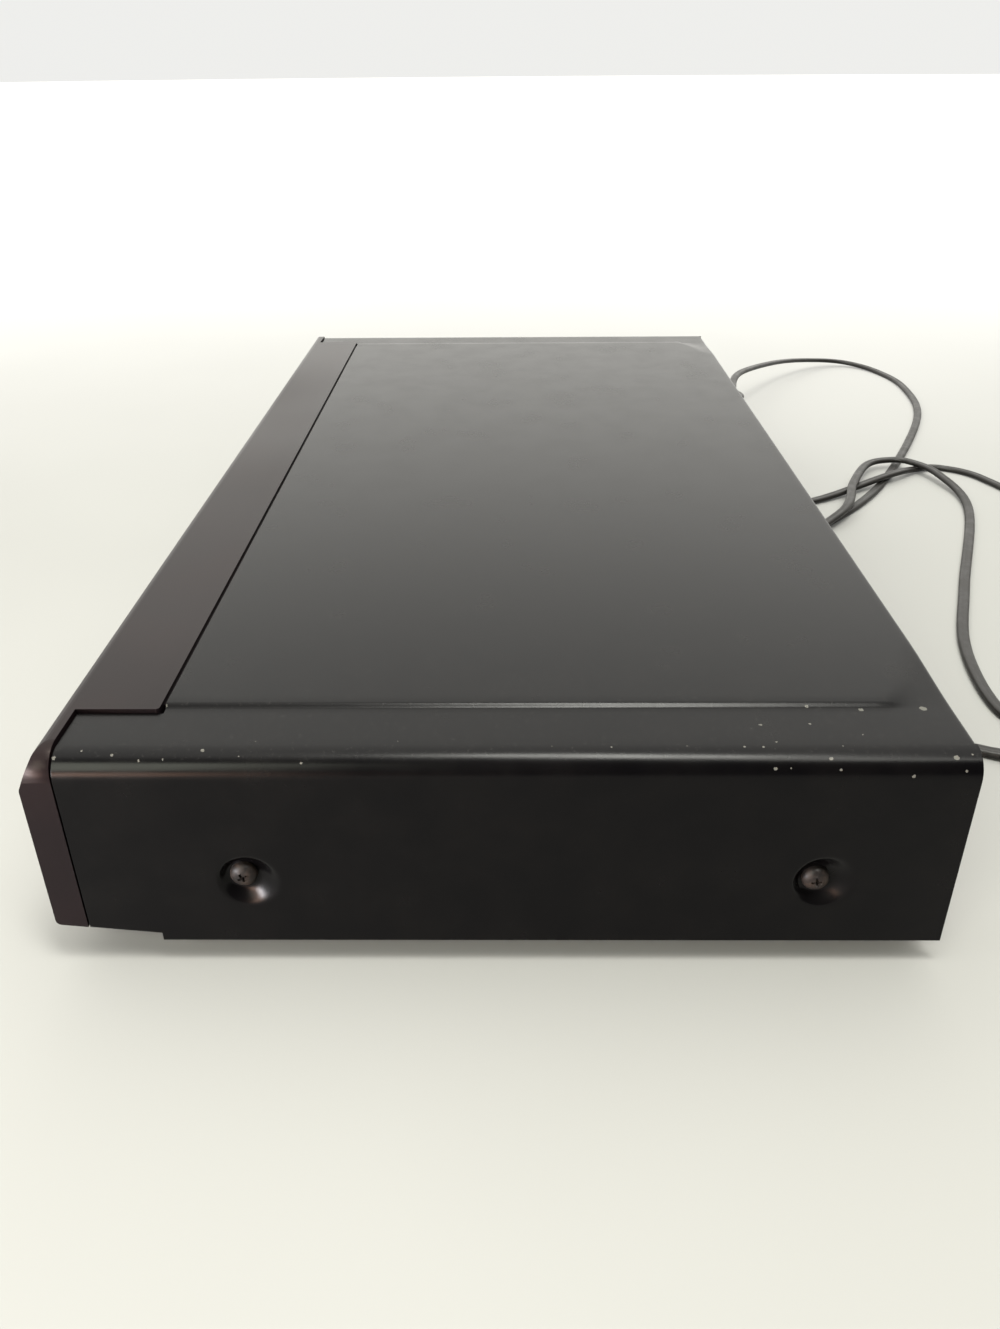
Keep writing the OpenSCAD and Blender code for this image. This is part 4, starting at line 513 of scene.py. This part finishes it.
def soft_vinyl(name, color, roughness, level=0.5):
    """Extruded vinyl or rubber: a slightly waxy skin with dust in it."""
    f = Finish(name, color, roughness, level=level)
    dust = f.noise(160, 5, 0.7)
    f.set(f.shader, {
        "Base Color": f.mix(f.ramp(dust, 0.5, 0.75), color, tuple(c * 1.8 + 0.002 for c in color)),
        "Roughness": f.ramp(dust, 0.3, 0.7, roughness - 0.05, roughness + 0.1),
        "Normal": f.bump(f.noise(900, 3), 0.015 * MM),
    })
    return f.material


def gloss_plastic(name, color, roughness, coat=0.5, level=0.5):
    """Polished moulding with a hint of hairline wiping marks."""
    f = Finish(name, color, roughness, level=level, **{"Coat Weight": coat, "Coat Roughness": 0.03})
    marks = f.noise(300, 3, 0.6, f.stretch((0.15, 1, 1)))
    f.set(f.shader, {
        "Base Color": f.mix(f.ramp(f.noise(40, 2), 0.3, 0.7), color, tuple(c * 1.2 for c in color)),
        "Roughness": f.ramp(marks, 0.4, 0.8, roughness, roughness + 0.08),
        "Normal": f.bump(f.noise(5, 1), 0.05 * MM),
    })
    return f.material


JACK_XS = (122.5, 136.5, 150.5)
JACK_ZS = (24, 38)
JACK_COLORS = (              # the insulator of each socket, by row and column
    ((0.5, 0.012, 0.01), (0.01, 0.03, 0.4), (0.01, 0.25, 0.03)),
    ((0.6, 0.4, 0.01), (0.5, 0.012, 0.01), (0.6, 0.6, 0.58)),
)
BARREL_R = 4.95 * MM
INSULATOR_R = 3.3 * MM
NICKEL = (0.7, 0.69, 0.66)


def jack_finish(name):
    """A black socket block with nickelled barrels round insulators in the usual colours."""
    f = Finish(name, (0.02, 0.02, 0.021), 0.4)
    place = f.split(f.where)
    outside = f.math("GREATER_THAN", place["Y"], REAR_PANEL_Y + 0.05 * MM)
    flat = f.add("ShaderNodeCombineXYZ", {"X": place["X"], "Z": place["Z"]}).outputs[0]
    color = f.mix(f.ramp(f.noise(60, 3), 0.3, 0.7), (0.018, 0.018, 0.019), (0.026, 0.026, 0.027))
    metal = 0.0
    for z, row in zip(JACK_ZS, JACK_COLORS):
        for x, paint in zip(JACK_XS, row):
            away = f.vector("DISTANCE", flat, (x * MM, 0, z * MM))
            barrel, insulator = (f.product(f.math("LESS_THAN", away, r), outside) for r in (BARREL_R, INSULATOR_R))
            metal = f.math("MAXIMUM", metal, f.math("SUBTRACT", barrel, insulator))
            color = f.mix(insulator, f.mix(barrel, color, NICKEL), paint)
    grain = f.noise(300, 3, 0.6, f.stretch((1, 12, 1)))
    f.set(f.shader, {
        "Base Color": color, "Metallic": metal, "Roughness": f.ramp(grain, 0.3, 0.7, 0.26, 0.42),
        "Normal": f.bump(grain, 0.004 * MM),
    })
    return f.material


def circuit_board(name, color, roughness):
    """Solder mask over copper: tracks show as a raised pattern."""
    f = Finish(name, color, roughness)
    tracks = f.add("ShaderNodeTexBrick", {
        "Vector": f.where, "Scale": 90.0, "Mortar Size": 0.012, "Color1": (0, 0, 0, 1), "Color2": (0, 0, 0, 1),
        "Mortar": (1, 1, 1, 1)}).outputs["Fac"]
    f.set(f.shader, {
        "Base Color": f.mix(f.ramp(f.noise(60, 3), 0.3, 0.7), color, tuple(c * 1.4 for c in color)),
        "Normal": f.bump(tracks, 0.03 * MM),
    })
    return f.material


FINISHES = {
    "cover_steel": painted_steel(
        "cover_steel", (0.001, 0.0009, 0.0011), 0.25, tint=(0.0016, 0.0014, 0.0015), level=0.12),
    "bezel_plastic": moulded_plastic(
        "bezel_plastic", (0.0038, 0.0027, 0.0034), 0.34, grain=0.006, tint=(0.0056, 0.0034, 0.004), level=0.13,
        gloss_tint=(1, 0.84, 0.77)),
    "chassis_zinc": plated_metal("chassis_zinc", (0.62, 0.62, 0.6), 0.36, tint=(0.6, 0.58, 0.47)),
    "rear_steel": painted_steel("rear_steel", (0.024, 0.024, 0.025), 0.46, tint=(0.03, 0.03, 0.03), level=0.4),
    "foot_plastic": moulded_plastic("foot_plastic", (0.022, 0.022, 0.022), 0.5),
    "pad_rubber": soft_vinyl("pad_rubber", (0.02, 0.02, 0.02), 0.75),
    "screw_black": black_oxide("screw_black", (0.008, 0.0068, 0.0064), 0.44, level=0.16),
    "screw_zinc": plated_metal("screw_zinc", (0.68, 0.68, 0.66), 0.3),
    "window_smoke": gloss_plastic("window_smoke", (0.002, 0.002, 0.003), 0.06, coat=0.1, level=0.3),
    "display_glass": gloss_plastic("display_glass", (0.05, 0.09, 0.09), 0.1),
    "light_guide": gloss_plastic("light_guide", (0.25, 0.01, 0.008), 0.12),
    "board_green": circuit_board("board_green", (0.015, 0.1, 0.04), 0.35),
    "board_tan": circuit_board("board_tan", (0.3, 0.17, 0.06), 0.5),
    "switch_grey": moulded_plastic("switch_grey", (0.05, 0.05, 0.05), 0.5),
    "key_plastic": moulded_plastic("key_plastic", (0.011, 0.0105, 0.011), 0.35, grain=0.006, level=0.25),
    "frame_plastic": moulded_plastic("frame_plastic", (0.045, 0.045, 0.048), 0.5),
    "tray_plastic": moulded_plastic("tray_plastic", (0.014, 0.014, 0.015), 0.45, grain=0.014, level=0.3),
    "gear_plastic": moulded_plastic("gear_plastic", (0.75, 0.73, 0.66), 0.4, grain=0.004, tint=(0.7, 0.67, 0.58)),
    "gear_grey": moulded_plastic("gear_grey", (0.16, 0.16, 0.17), 0.42, grain=0.004),
    "belt_rubber": soft_vinyl("belt_rubber", (0.015, 0.015, 0.015), 0.7),
    "motor_steel": plated_metal("motor_steel", (0.62, 0.62, 0.6), 0.28),
    "pulley_brass": plated_metal("pulley_brass", (0.75, 0.52, 0.22), 0.25),
    "bridge_steel": plated_metal("bridge_steel", (0.63, 0.63, 0.61), 0.32, streak=(12, 1, 1)),
    "turntable_plastic": soft_vinyl("turntable_plastic", (0.025, 0.025, 0.025), 0.6),
    "sled_zinc": plated_metal("sled_zinc", (0.5, 0.5, 0.5), 0.45),
    "lens_black": gloss_plastic("lens_black", (0.02, 0.02, 0.025), 0.2),
    "parts_black": moulded_plastic("parts_black", (0.02, 0.02, 0.021), 0.5, grain=0.006),
    "transformer_tape": gloss_plastic("transformer_tape", (0.5, 0.36, 0.05), 0.3),
    "capacitor_sleeve": gloss_plastic("capacitor_sleeve", (0.015, 0.015, 0.03), 0.25),
    "sink_aluminium": plated_metal("sink_aluminium", (0.72, 0.72, 0.72), 0.35),
    "jack_parts": jack_finish("jack_parts"),
    "ribbon_white": gloss_plastic("ribbon_white", (0.7, 0.7, 0.66), 0.35),
    "harness_red": soft_vinyl("harness_red", (0.35, 0.02, 0.015), 0.45),
    "cord_black": soft_vinyl("cord_black", (0.009, 0.008, 0.007), 0.42, level=0.3),
    "plug_black": soft_vinyl("plug_black", (0.02, 0.019, 0.019), 0.45),
}


def finish(obj, slot):
    obj.data.materials.clear()
    obj.data.materials.append(FINISHES[slot])


def soften(obj, width):
    """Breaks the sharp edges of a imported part, as tooling does: weld, join its flat faces, then round its edges."""
    weld = obj.modifiers.new("weld", "WELD")
    weld.merge_threshold = 0.002 * MM
    flats = obj.modifiers.new("flats", "DECIMATE")
    flats.decimate_type, flats.angle_limit = "DISSOLVE", math.radians(1)
    edges = obj.modifiers.new("edges", "BEVEL")
    edges.width, edges.segments = width, 2
    edges.limit_method, edges.angle_limit = "ANGLE", math.radians(32)
    edges.harden_normals, edges.miter_outer = True, "MITER_ARC"


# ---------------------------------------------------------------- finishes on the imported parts

SOFT_EDGES = {
    0.35 * MM: ("front_bezel", "tray_door", "disc_tray"),
    0.2 * MM: ("chassis_base", "rear_panel", "display_window", "loader_frame", "clamp_bridge", "phono_jacks",
               "video_jack", "foot_front_left", "foot_front_right", "foot_rear_left", "foot_rear_right"),
}


def finish_packed_parts():
    for row in frame["record"]["subparts"]:
        node = NODES[row["node"]]
        finish(node, row["material_slot"])
    for width, names in SOFT_EDGES.items():
        for name in names:
            soften(NODES[name], width)


finish_packed_parts()


# ---------------------------------------------------------------- top cover

POINTS_PER_M = 1e7           # points of a sheet are told apart to a ten-thousandth of a millimetre
SMALL = 1 / POINTS_PER_M
DISH_HALF = 10 * MM          # half of the square round a dish, and the grid intervals along its side
DISH_SIDE = 12
BEND_STEPS = 16
REAR_BEND_STEPS = 6
FLANGE_X = HALF_W - FLANGE_INSET + SEAM
FLAT_X = HALF_W - BEND_R     # where the top's flat ends and the side bends begin


def panel_height(x, y):
    """Rise of the embossed panel above the flats at its sides; its side slope widens and fades out at the rear."""
    fade = smooth_step((y - (REAR_Y - PANEL_REAR)) / (PANEL_REAR - REAR_BEND_R))
    slope = PANEL_SLOPE + (PANEL_FADE - PANEL_SLOPE) * fade
    return PANEL_RISE * smooth_step((PANEL_FOOT_X - abs(x)) / slope)


def dish_depth(r):
    """Depth of a screw dish at a distance from its middle: a flat seat, an S-shaped wall and a rolled edge."""
    return DISH_DEPTH * (1 - smooth_step((r - DISH_SEAT_R) / (DISH_EDGE_R - DISH_SEAT_R)))


def seat_shift(centre_y, r):
    """How far the pressed seat of a dish sits off the middle of its rim, growing inward from the rim."""
    dy, dz = SEAT_SHIFTS[centre_y]
    inner_r, outer_r = DISH_SHIFT_RS
    share = 1 - smooth_step((r - inner_r) / (outer_r - inner_r))
    return dy * share, dz * share


def chin_line(y):
    """Height of the sloping chin, which the bezel and the front of the cover's sides share."""
    return CHIN_Z - (CHIN_Z - CHIN_STEP_Z) * (y - FRONT_Y) / CHIN_D


class Skin:
    """Points and faces of a sheet; points at one place are one vertex."""

    def __init__(self):
        self.index, self.points, self.faces = {}, [], []

    def vertex(self, p):
        key = tuple(round(c * POINTS_PER_M) for c in p)
        if key not in self.index:
            self.index[key] = len(self.points)
            self.points.append(tuple(p))
        return self.index[key]

    def face(self, corners, side=1):
        """Adds a face unless it has shrunk to a line; on the left-hand side (-1) it is turned round."""
        ids = [self.vertex(p) for p in corners[::side]]
        if len(set(ids)) == len(ids):
            self.faces.append(ids)


def cover_stations():
    """Across the cover, from the middle of its top down to its lip: functions of y that give (x, z)."""
    flat = ruled((0.0, 6), (PANEL_FOOT_X - PANEL_FADE, 12), (PANEL_FOOT_X - PANEL_SLOPE, 10), (PANEL_FOOT_X, 1),
                 (FLANGE_X, 5), FLAT_X)
    stations = [(lambda y, x=x: (x, TOP_Z + panel_height(x, y))) for x in flat]
    for k in range(1, BEND_STEPS + 1):
        a = math.radians(90 * k / BEND_STEPS)
        x, z = FLAT_X + BEND_R * math.sin(a), TOP_Z - BEND_R + BEND_R * math.cos(a)
        stations.append(lambda y, x=x, z=z: (x, z))
    wall = ruled((TOP_Z - BEND_R, 6), (DISH_Z + DISH_HALF, DISH_SIDE), (DISH_Z - DISH_HALF, 2), CHIN_Z)[1:]
    stations += [(lambda y, z=z: (HALF_W, z)) for z in wall]
    stations.append(lambda y: (HALF_W, max(CHIN_STEP_Z, chin_line(y))))
    stations.append(lambda y: (HALF_W, LIP_Z))
    return stations


def add_half(skin, stations, side):
    """One half of the sheet, from the middle to the lip, with its dishes left out."""
    y_lines = ruled((SIDE_FRONT_Y, 4), (FRONT_Y + CHIN_D, 1), (SEAM_Y + SEAM_OPEN, 4),
                    (DISH_YS[0] - DISH_HALF, DISH_SIDE), (DISH_YS[0] + DISH_HALF, 16),
                    (DISH_YS[1] - DISH_HALF, DISH_SIDE), (DISH_YS[1] + DISH_HALF, 2),
                    (REAR_Y - PANEL_REAR, 12), (REAR_BEND_Y, 1), REAR_Y)
    for i, (near, far) in enumerate(zip(stations, stations[1:])):
        for y0, y1 in zip(y_lines, y_lines[1:]):
            (xa, za), (xb, zb), (xc, zc), (xd, zd) = near(y0), far(y0), far(y1), near(y1)
            in_flange = y1 < SEAM_Y + SEAM_OPEN + SMALL and xb < FLANGE_X + SMALL
            before_lip = y1 < FRONT_Y + CHIN_D + SMALL and i == len(stations) - 2
            in_rear_bend = y0 > REAR_BEND_Y - SMALL and xb < FLAT_X + SMALL
            in_dish = (min(xa, xb) > HALF_W - SMALL and abs((za + zb) / 2 - DISH_Z) < DISH_HALF
                       and any(abs((y0 + y1) / 2 - y) < DISH_HALF for y in DISH_YS))
            if not (in_flange or before_lip or in_rear_bend or in_dish):
                skin.face([(side * xa, y0, za), (side * xb, y0, zb), (side * xc, y1, zc), (side * xd, y1, zd)], side)


def dish_rings(centre_y, side):
    """Rings of points from the square round a dish in to its screw hole."""
    corners = [(-1, -1), (1, -1), (1, 1), (-1, 1)]
    square = []
    for (ax, az), (bx, bz) in zip(corners, corners[1:] + corners[:1]):
        for k in range(DISH_SIDE):
            t = k / DISH_SIDE
            square.append((DISH_HALF * (ax + (bx - ax) * t), DISH_HALF * (az + (bz - az) * t)))
    seat_r, edge_r = DISH_SHIFT_RS
    rings = []
    for blend in (0.0, 0.5):
        shares = [1 - blend * (1 - edge_r / math.hypot(y, z)) for y, z in square]
        rings.append(([(y * s, z * s) for (y, z), s in zip(square, shares)], 0.0))
    for r in ruled((edge_r, 14), (seat_r, 2), SCREW_HOLE_R):
        ring = [(y * r / math.hypot(y, z), z * r / math.hypot(y, z)) for y, z in square]
        dy, dz = seat_shift(centre_y, r)
        rings.append(([(y + dy, z + dz) for y, z in ring], dish_depth(r)))
    return [[(side * (HALF_W - depth), centre_y + y, DISH_Z + z) for y, z in ring] for ring, depth in rings]


def add_dish(skin, centre_y, side):
    rings = dish_rings(centre_y, side)
    for outer, inner in zip(rings, rings[1:]):
        for k in range(len(outer)):
            n = (k + 1) % len(outer)
            skin.face([outer[k], outer[n], inner[n], inner[k]], side)


def add_rear_lip(skin, xs):
    """The rear edge of the top, bent down into a lip whose lower edge is level."""
    r, bend_z = REAR_BEND_R, TOP_Z - REAR_BEND_R
    low = TOP_Z - SHEET_T - REAR_LIP
    profile = [(REAR_BEND_Y + r * math.sin(a), bend_z + r * math.cos(a))
               for a in (math.radians(90 * k / REAR_BEND_STEPS) for k in range(REAR_BEND_STEPS + 1))]
    profile += [(REAR_Y, z) for z in ruled((bend_z, 4), low)[1:]]

    def point(x, y, z):
        return x, y, z + panel_height(x, REAR_BEND_Y) * min(1, (z - low) / (bend_z - low))

    half = [x for x in xs if x < FLAT_X + SMALL]
    both = sorted({-x for x in half} | set(half))
    for x0, x1 in zip(both, both[1:]):
        for (y0, z0), (y1, z1) in zip(profile, profile[1:]):
            skin.face([point(x0, y0, z0), point(x1, y0, z0), point(x1, y1, z1), point(x0, y1, z1)])


def build_cover():
    skin = Skin()
    stations = cover_stations()
    for side in (1, -1):
        add_half(skin, stations, side)
        for y in DISH_YS:
            add_dish(skin, y, side)
    add_rear_lip(skin, [station(0)[0] for station in stations])
    obj = mesh_object("cover_sheet", mesh_from("cover_sheet", skin.points, skin.faces), "case", "cover_steel")
    sheet = obj.modifiers.new("sheet", "SOLIDIFY")
    sheet.thickness, sheet.offset, sheet.use_even_offset = SHEET_T, -1, True
    rim = obj.modifiers.new("rim", "BEVEL")
    rim.width, rim.segments, rim.limit_method, rim.angle_limit = CUT_ROUND, 3, "ANGLE", math.radians(50)
    rim.harden_normals = True
    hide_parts("top_cover")


build_cover()


# ---------------------------------------------------------------- cover screws

HEAD_R = 3.45 * MM           # the domed head
HEAD_H = 2.6 * MM
RIM_H = 0.5 * MM
ARM_L = 1.35 * MM            # an arm of the cross recess, from the middle, and half of its width
ARM_W = 0.34 * MM
RECESS_D = 1.15 * MM
FLOOR_SIZE = 0.66            # the recess at its floor and at its broken edge, against its mouth
EDGE_SIZE = 1.05
EDGE_DROP = 0.06 * MM
SHANK_R = 1.5 * MM           # the thread, over its crests, in its roots and at its tip
ROOT_R = 1.25 * MM
TIP_R = 0.5 * MM
THREAD_PITCH = 0.7 * MM
THREADS = 8
SHANK_L = 6.4 * MM
SCREW_TURNS = (0.5, 0.15, 0.9, 0.35)


def head_height(r):
    """Height of a domed screw head above its seat."""
    return RIM_H + (HEAD_H - RIM_H) * math.sqrt(max(1 - (r / HEAD_R) ** 2, 0.0))


def cross_outline():
    """Outline of a cross recess, running round it."""
    arm = [(ARM_L, 0.0), (ARM_L, ARM_W)] + [(u, ARM_W) for u in ruled((ARM_L, 4), ARM_W)[1:]]
    arm += [(ARM_W, u) for u in ruled((ARM_W, 4), ARM_L)[1:]]
    points = []
    for k in range(4):
        c, s = math.cos(k * math.pi / 2), math.sin(k * math.pi / 2)
        points += [(c * u - s * v, s * u + c * v) for u, v in arm]
    return points


def screw_rings(turn):
    """Rings of (u, v, height) from the recess's floor out over the dome, down to the seat and along the shank."""
    cross = cross_outline()
    rings = [[(u * FLOOR_SIZE, v * FLOOR_SIZE, head_height(0) - RECESS_D) for u, v in cross],
             [(u, v, head_height(math.hypot(u, v)) - EDGE_DROP) for u, v in cross],
             [(u * EDGE_SIZE, v * EDGE_SIZE, head_height(math.hypot(u, v))) for u, v in cross]]
    for t in ruled((0.2, 8), 1.0):
        ring = []
        for u, v in cross:
            r = math.hypot(u, v) * EDGE_SIZE
            s = 1 + (HEAD_R / r - 1) * math.sin(t * math.pi / 2)
            ring.append((u * EDGE_SIZE * s, v * EDGE_SIZE * s, head_height(r * s)))
        rings.append(ring)
    shank = [(HEAD_R, 0.0), (SHANK_R, 0.0)]
    for k in range(THREADS):
        height = -THREAD_PITCH * k
        shank += [(SHANK_R, height - 0.3 * MM), (ROOT_R, height - 0.65 * MM)]
    shank.append((TIP_R, -SHANK_L))
    around = [(u / math.hypot(u, v), v / math.hypot(u, v)) for u, v in cross]
    rings += [[(r * u, r * v, z) for u, v in around] for r, z in shank]
    c, s = math.cos(turn), math.sin(turn)
    return [[(c * u - s * v, s * u + c * v, h) for u, v, h in ring] for ring in rings]


def build_cover_screws():
    points, faces = [], []
    for (side, y), turn in zip(((side, y) for side in (1, -1) for y in DISH_YS), SCREW_TURNS):
        dy, dz = SEAT_SHIFTS[y]
        rings = screw_rings(turn)
        first, n = len(points), len(rings[0])
        for ring in rings:
            points += [(side * (HALF_W - DISH_DEPTH + h), y + dy + side * u, DISH_Z + dz + v) for u, v, h in ring]
        for i in range(first, first + (len(rings) - 1) * n, n):
            faces += [(i + k, i + n + k, i + n + (k + 1) % n, i + (k + 1) % n) for k in range(n)]
        last = len(points) - n
        faces.append(tuple(range(first, first + n)))
        faces.append(tuple(range(last + n - 1, last - 1, -1)))
    obj = mesh_object("cover_screw_heads", closed_mesh("cover_screw_heads", points, faces), "case", "screw_black")
    obj.data.set_sharp_from_angle(angle=math.radians(38))
    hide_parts("cover_screws")


build_cover_screws()


# ---------------------------------------------------------------- signs printed on the keys

SIGN = 3.0 * MM              # height of a sign; that on the power key is larger
POWER_SIGN = 1.5 * SIGN
INK = 0.02 * MM              # how far it stands off the key, and goes in
RING_STEPS = 32


def block_outline(x0, x1, z0=-0.5, z1=0.5):
    return [(x0, z0), (x1, z0), (x1, z1), (x0, z1)]


def arrow_outline(x0, x1):
    """A triangle that points along x, from its base at x0 to its tip at x1."""
    return [(x0, -0.5), (x1, 0.0), (x0, 0.5)]


def ring_outline(radius, stroke, gap):
    """An open ring with its gap at the top, as one outline."""
    angles = [math.radians(90 + gap + (360 - 2 * gap) * k / RING_STEPS) for k in range(RING_STEPS + 1)]
    outer = [(radius * math.cos(a), radius * math.sin(a)) for a in angles]
    inner = [((radius - stroke) * math.cos(a), (radius - stroke) * math.sin(a)) for a in reversed(angles)]
    return outer + inner


SIGNS = {
    "open_close": [[(-0.6, -0.05), (0.6, -0.05), (0.0, 0.5)], block_outline(-0.6, 0.6, -0.4, -0.2)],
    "play": [arrow_outline(-0.4, 0.5)],
    "pause": [block_outline(-0.42, -0.14), block_outline(0.14, 0.42)],
    "stop": [block_outline(-0.42, 0.42, -0.42, 0.42)],
    "skip_back": [block_outline(-0.85, -0.7), arrow_outline(0.05, -0.7), arrow_outline(0.8, 0.05)],
    "skip_forward": [block_outline(0.7, 0.85), arrow_outline(-0.05, 0.7), arrow_outline(-0.8, -0.05)],
    "power": [ring_outline(0.62, 0.13, 32), block_outline(-0.065, 0.065, 0.05, 0.75)],
}


def build_signs():
    for sign, outlines in SIGNS.items():
        key = sign + "_button"
        lo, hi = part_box(key)
        x, z, face_y = (lo.x + hi.x) / 2, (lo.z + hi.z) / 2, lo.y
        size = POWER_SIGN if sign == "power" else SIGN
        points, faces = [], []
        for outline in outlines:
            n = len(outline)
            area = sum(a[0] * b[1] - b[0] * a[1] for a, b in zip(outline, outline[1:] + outline[:1]))
            ordered = outline if area > 0 else outline[::-1]
            sides = [[(x + size * u, y, z + size * v) for u, v in ordered] for y in (face_y - INK, face_y + INK)]
            in_strips = n > 2 * RING_STEPS                       # an open ring: quads between its two arcs
            strips = [(k, k + 1, n - 2 - k, n - 1 - k) for k in range(n // 2 - 1)] if in_strips else None
            add_prism(points, faces, *sides, strips)
        mesh = closed_mesh(sign + "_sign", points, faces)
        mesh_object(sign + "_sign", mesh, key, "ribbon_white", smooth=False)


build_signs()


# ---------------------------------------------------------------- floor and light

FLOOR_R = 14
FLOOR_POINTS = 96
GLOW_FROM = (0.9, 0.0, 0.0)         # the floor's painted glow rises from 0.75 to 2.2 m round here, lifting it to white


def build_floor():
    """A pale card floor that runs on far beyond the view, with a painted glow that lifts it to white in the distance.
    """
    angles = [math.tau * k / FLOOR_POINTS for k in range(FLOOR_POINTS)]
    mesh = mesh_from("floor", [(FLOOR_R * math.cos(a), FLOOR_R * math.sin(a), 0) for a in angles],
                     [tuple(range(FLOOR_POINTS))])
    obj = bpy.data.objects.new("floor", mesh)
    bpy.context.scene.collection.objects.link(obj)
    f = Finish("floor_card", (0.25, 0.25, 0.24), 0.7, level=0.1)
    f.set(f.shader, {
        "Base Color": f.mix(f.ramp(f.noise(3, 3), 0.3, 0.7), (0.245, 0.245, 0.235), (0.26, 0.26, 0.25)),
        # painted glow: emission that grows with distance, up to 0.8, lifting the far floor to white
        "Emission Color": (1.0, 0.99, 0.97, 1),
        "Emission Strength": f.ramp(f.vector("DISTANCE", f.where, GLOW_FROM), 0.75, 2.2, 0.0, 0.8),
    })
    mesh.materials.append(f.material)


def area_light(name, place, target, size, radiance, color, along):
    """A soft box whose face has this brightness; the second of its sizes runs along a direction."""
    data = bpy.data.lights.new(name, "AREA")
    data.shape, data.size, data.size_y = "RECTANGLE", size[0], size[1]
    data.energy, data.color = radiance * math.pi * size[0] * size[1], color
    obj = bpy.data.objects.new(name, data)
    back = (Vector(place) - Vector(target)).normalized()
    across = Vector(along).cross(back).normalized()
    axes = Matrix((across, back.cross(across), back)).transposed()
    obj.matrix_world = Matrix.Translation(place) @ axes.to_4x4()
    obj.visible_camera = False
    bpy.context.scene.collection.objects.link(obj)


def build_room():
    """Soft light from all round: bright beyond the far end and on the ceiling, dim on the near side."""
    world = bpy.data.worlds.new("room")
    bpy.context.scene.world = world
    world.use_nodes = True
    n = Nodes(world.node_tree)
    where = n.add("ShaderNodeTexCoord").outputs["Generated"]
    toward = n.split(where)
    to_far_end = n.vector("DOT_PRODUCT", where, (-0.86, -0.5, 0.1))
    walls = n.product(n.ramp(to_far_end, -0.5, 0.75, 0.08, 1.95), n.ramp(toward["Z"], 0.55, 0.88, 1.0, 0.45))
    ceiling = n.product(n.ramp(toward["Z"], 0.5, 0.9, 0.0, 2.5), n.ramp(toward["X"], 0.1, 0.45, 1.0, 0.0))
    room = n.tree.nodes["Background"]
    n.set(room, {"Strength": n.math("ADD", walls, ceiling), "Color": (1.0, 0.985, 0.93, 1)})
    backdrop = n.add("ShaderNodeBackground", {"Color": (0.86, 0.86, 0.84, 1)})
    is_view = n.add("ShaderNodeLightPath").outputs["Is Camera Ray"]
    seen = n.add("ShaderNodeMixShader", {0: is_view, 1: room.outputs[0], 2: backdrop.outputs[0]})
    n.set(n.tree.nodes["World Output"], {"Surface": seen.outputs[0]})


UPWARD = (0, 0, 1)
REARWARD = (0.64, 0.77, 0)
WARM_WHITE = (1.0, 0.995, 0.93)
LIGHTS = (                   # name, place, target, size, radiance, colour and the direction of its length
    ("lamp", (0.39, 0.12, 1.25), (0.215, 0.02, 0.06), (0.26, 0.44), 44, WARM_WHITE, REARWARD),
    ("lamp_rear", (0.68, 0.46, 1.22), (0.215, 0.08, 0.06), (0.24, 0.4), 16, WARM_WHITE, REARWARD),
    ("window", (0.68, -0.62, 0.08), (0.215, -0.03, 0.03), (0.4, 0.14), 85, (0.98, 0.96, 1.0), UPWARD),
    ("wall_high", (1.3, -0.75, 0.9), (0.2, -0.1, 0.06), (0.65, 0.8), 11, (0.97, 1.0, 0.84), UPWARD),
    ("wall_low", (1.15, -0.6, 0.14), (0.2, -0.1, 0.06), (0.45, 0.26), 15, (1.0, 0.6, 0.42), UPWARD),
)

for piece, piece_slot in new_pieces:
    finish(piece, piece_slot)
build_floor()
build_room()
for light in LIGHTS:
    area_light(*light)
bpy.context.scene.view_settings.view_transform = "Standard"
